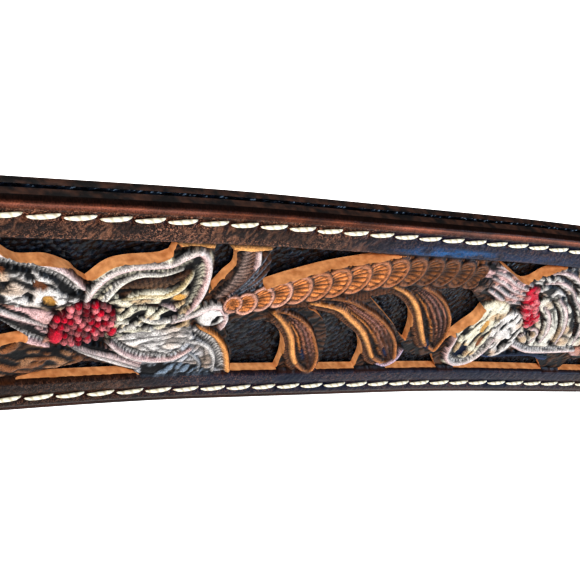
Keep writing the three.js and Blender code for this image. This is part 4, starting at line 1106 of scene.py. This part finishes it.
# The stitching. Waxed cream thread in saddle stitch runs along both borders and shows on both faces,
# each stitch pulled down at its ends into its hole.
thread, nodes, links, surface = new_material("waxed_thread")
flat_map = nodes.new("ShaderNodeUVMap")
plies = nodes.new("ShaderNodeTexWave")
plies.inputs["Scale"].default_value = 4.5
plies.inputs["Distortion"].default_value = 1.5
plies.bands_direction = "DIAGONAL"
links.new(flat_map.outputs["UV"], plies.inputs["Vector"])
thread_ramp = nodes.new("ShaderNodeValToRGB")
thread_ramp.color_ramp.elements[0].color = (0.50, 0.44, 0.32, 1)
thread_ramp.color_ramp.elements[1].color = (0.74, 0.70, 0.57, 1)
thread_ramp.color_ramp.elements[1].position = 0.45
links.new(plies.outputs["Fac"], thread_ramp.inputs["Fac"])
links.new(thread_ramp.outputs["Color"], surface.inputs["Base Color"])
surface.inputs["Roughness"].default_value = 0.6
bump = nodes.new("ShaderNodeBump")
bump.inputs["Strength"].default_value = 0.5
bump.inputs["Distance"].default_value = 0.0002
links.new(plies.outputs["Fac"], bump.inputs["Height"])
links.new(bump.outputs["Normal"], surface.inputs["Normal"])


def stitch_row(name, up, first, start, finish, level, face):
    """One row: a stitch is shaped once, then repeated along the belt. Face is 1 outside and -1 inside."""
    begin = first + STITCH_PITCH * math.ceil((start - first) / STITCH_PITCH)
    deselect()
    bpy.ops.mesh.primitive_uv_sphere_add(segments=8, ring_count=7, radius=1)
    row = bpy.context.object
    row.name = name
    row.data.name = name
    shape = corners_of(row)
    x, y, z = shape[:, 2].copy(), shape[:, 0].copy(), shape[:, 1].copy()
    fat = 0.38 * (0.92 + 0.14 * x) * (1 + 0.25 * x ** 2)
    shape[:, 0] = begin + STITCH_PITCH / 2 + 2.12 * x
    shape[:, 1] = up + fat * y + 0.26 * x
    shape[:, 2] = level + face * (0.30 * z - 0.26 * x ** 4)
    row.data.vertices.foreach_set("co", shape.ravel())
    repeat = row.modifiers.new("row", "ARRAY")
    repeat.count = int((finish - begin) / STITCH_PITCH)
    repeat.use_relative_offset = False
    repeat.use_constant_offset = True
    repeat.constant_offset_displace = (STITCH_PITCH, 0, 0)
    bpy.ops.object.modifier_apply(modifier="row")
    if face > 0:
        bpy.ops.object.mode_set(mode="EDIT")
        bpy.ops.mesh.select_all(action="SELECT")
        bpy.ops.mesh.normals_make_consistent(inside=False)
        bpy.ops.object.mode_set(mode="OBJECT")
    row.data.materials.append(thread)
    bend_round(row)
    bpy.ops.object.shade_smooth()
    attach(row, "root")


for name, up, first in (("lower", STITCH_LOW, 0.7), ("upper", STITCH_HIGH, 0.2)):
    stitch_row("stitches_" + name + "_outside", up, PHOTO_TRAVEL + first, -fold_length - 42,
               loop_length + TIP_LENGTH - 12, 0.02, 1)
    stitch_row("stitches_" + name + "_inside", up, PHOTO_TRAVEL + first + STITCH_PITCH / 2, TURN_BACK_LENGTH + 3,
               loop_length - 20, -strap_thickness + 0.05, -1)

# The buckle, hidden behind in the photograph. It is a plain cast ring with a wire prong, its bar held in
# the folded end of the strap, its edges rounded and its metal brushed.
def softened_copy(node, name, width):
    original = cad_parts[node]
    piece = original.copy()
    piece.data = original.data.copy()
    piece.name = name
    piece.data.name = name
    bpy.context.scene.collection.objects.link(piece)
    deselect()
    bpy.context.view_layer.objects.active = piece
    piece.select_set(True)
    bpy.ops.object.mode_set(mode="EDIT")
    bpy.ops.mesh.select_all(action="SELECT")
    bpy.ops.mesh.remove_doubles(threshold=0.00001)
    bpy.ops.mesh.dissolve_limited(angle_limit=math.radians(1))
    bpy.ops.object.mode_set(mode="OBJECT")
    round_off = piece.modifiers.new("rounded", "BEVEL")
    round_off.width = width
    round_off.segments = 4
    round_off.limit_method = "ANGLE"
    round_off.angle_limit = math.radians(60)
    bpy.ops.object.modifier_apply(modifier="rounded")
    bpy.ops.object.shade_smooth_by_angle(angle=math.radians(50))
    return piece


buckle_metal, nodes, links, surface = new_material("buckle_metal")
place = nodes.new("ShaderNodeTexCoord")
brushing = nodes.new("ShaderNodeTexNoise")
brushing.inputs["Scale"].default_value = 420
brushing.inputs["Detail"].default_value = 5
links.new(place.outputs["Object"], brushing.inputs["Vector"])
wear = nodes.new("ShaderNodeMapRange")
wear.inputs["To Min"].default_value = 0.22
wear.inputs["To Max"].default_value = 0.42
links.new(brushing.outputs["Fac"], wear.inputs["Value"])
links.new(wear.outputs["Result"], surface.inputs["Roughness"])
surface.inputs["Base Color"].default_value = (0.52, 0.50, 0.46, 1)
surface.inputs["Metallic"].default_value = 1
buckle = softened_copy("plain_buckle", "cast_buckle", 0.0008)
buckle.data.materials.clear()
buckle.data.materials.append(buckle_metal)
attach(buckle, "root")
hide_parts("plain_buckle")

# The keeper, hidden behind too. It is a plain loop of the dark strap leather that holds the belt's tip
# down beside the buckle, its ends joined inside.
keeper_leather, nodes, links, surface = new_material("keeper_leather")
place = nodes.new("ShaderNodeTexCoord")
hide = nodes.new("ShaderNodeTexNoise")
hide.inputs["Scale"].default_value = 300
hide.inputs["Detail"].default_value = 6
links.new(place.outputs["Object"], hide.inputs["Vector"])
hide_ramp = nodes.new("ShaderNodeValToRGB")
hide_ramp.color_ramp.elements[0].color = (0.020, 0.009, 0.006, 1)
hide_ramp.color_ramp.elements[1].color = (0.090, 0.036, 0.020, 1)
links.new(hide.outputs["Fac"], hide_ramp.inputs["Fac"])
links.new(hide_ramp.outputs["Color"], surface.inputs["Base Color"])
surface.inputs["Roughness"].default_value = 0.45
surface.inputs["Specular IOR Level"].default_value = 0.22
bump = nodes.new("ShaderNodeBump")
bump.inputs["Strength"].default_value = 0.3
bump.inputs["Distance"].default_value = 0.0003
links.new(hide.outputs["Fac"], bump.inputs["Height"])
links.new(bump.outputs["Normal"], surface.inputs["Normal"])
keeper = softened_copy("plain_keeper", "leather_keeper", 0.0004)
keeper.data.materials.clear()
keeper.data.materials.append(keeper_leather)
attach(keeper, "root")
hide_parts("plain_keeper")
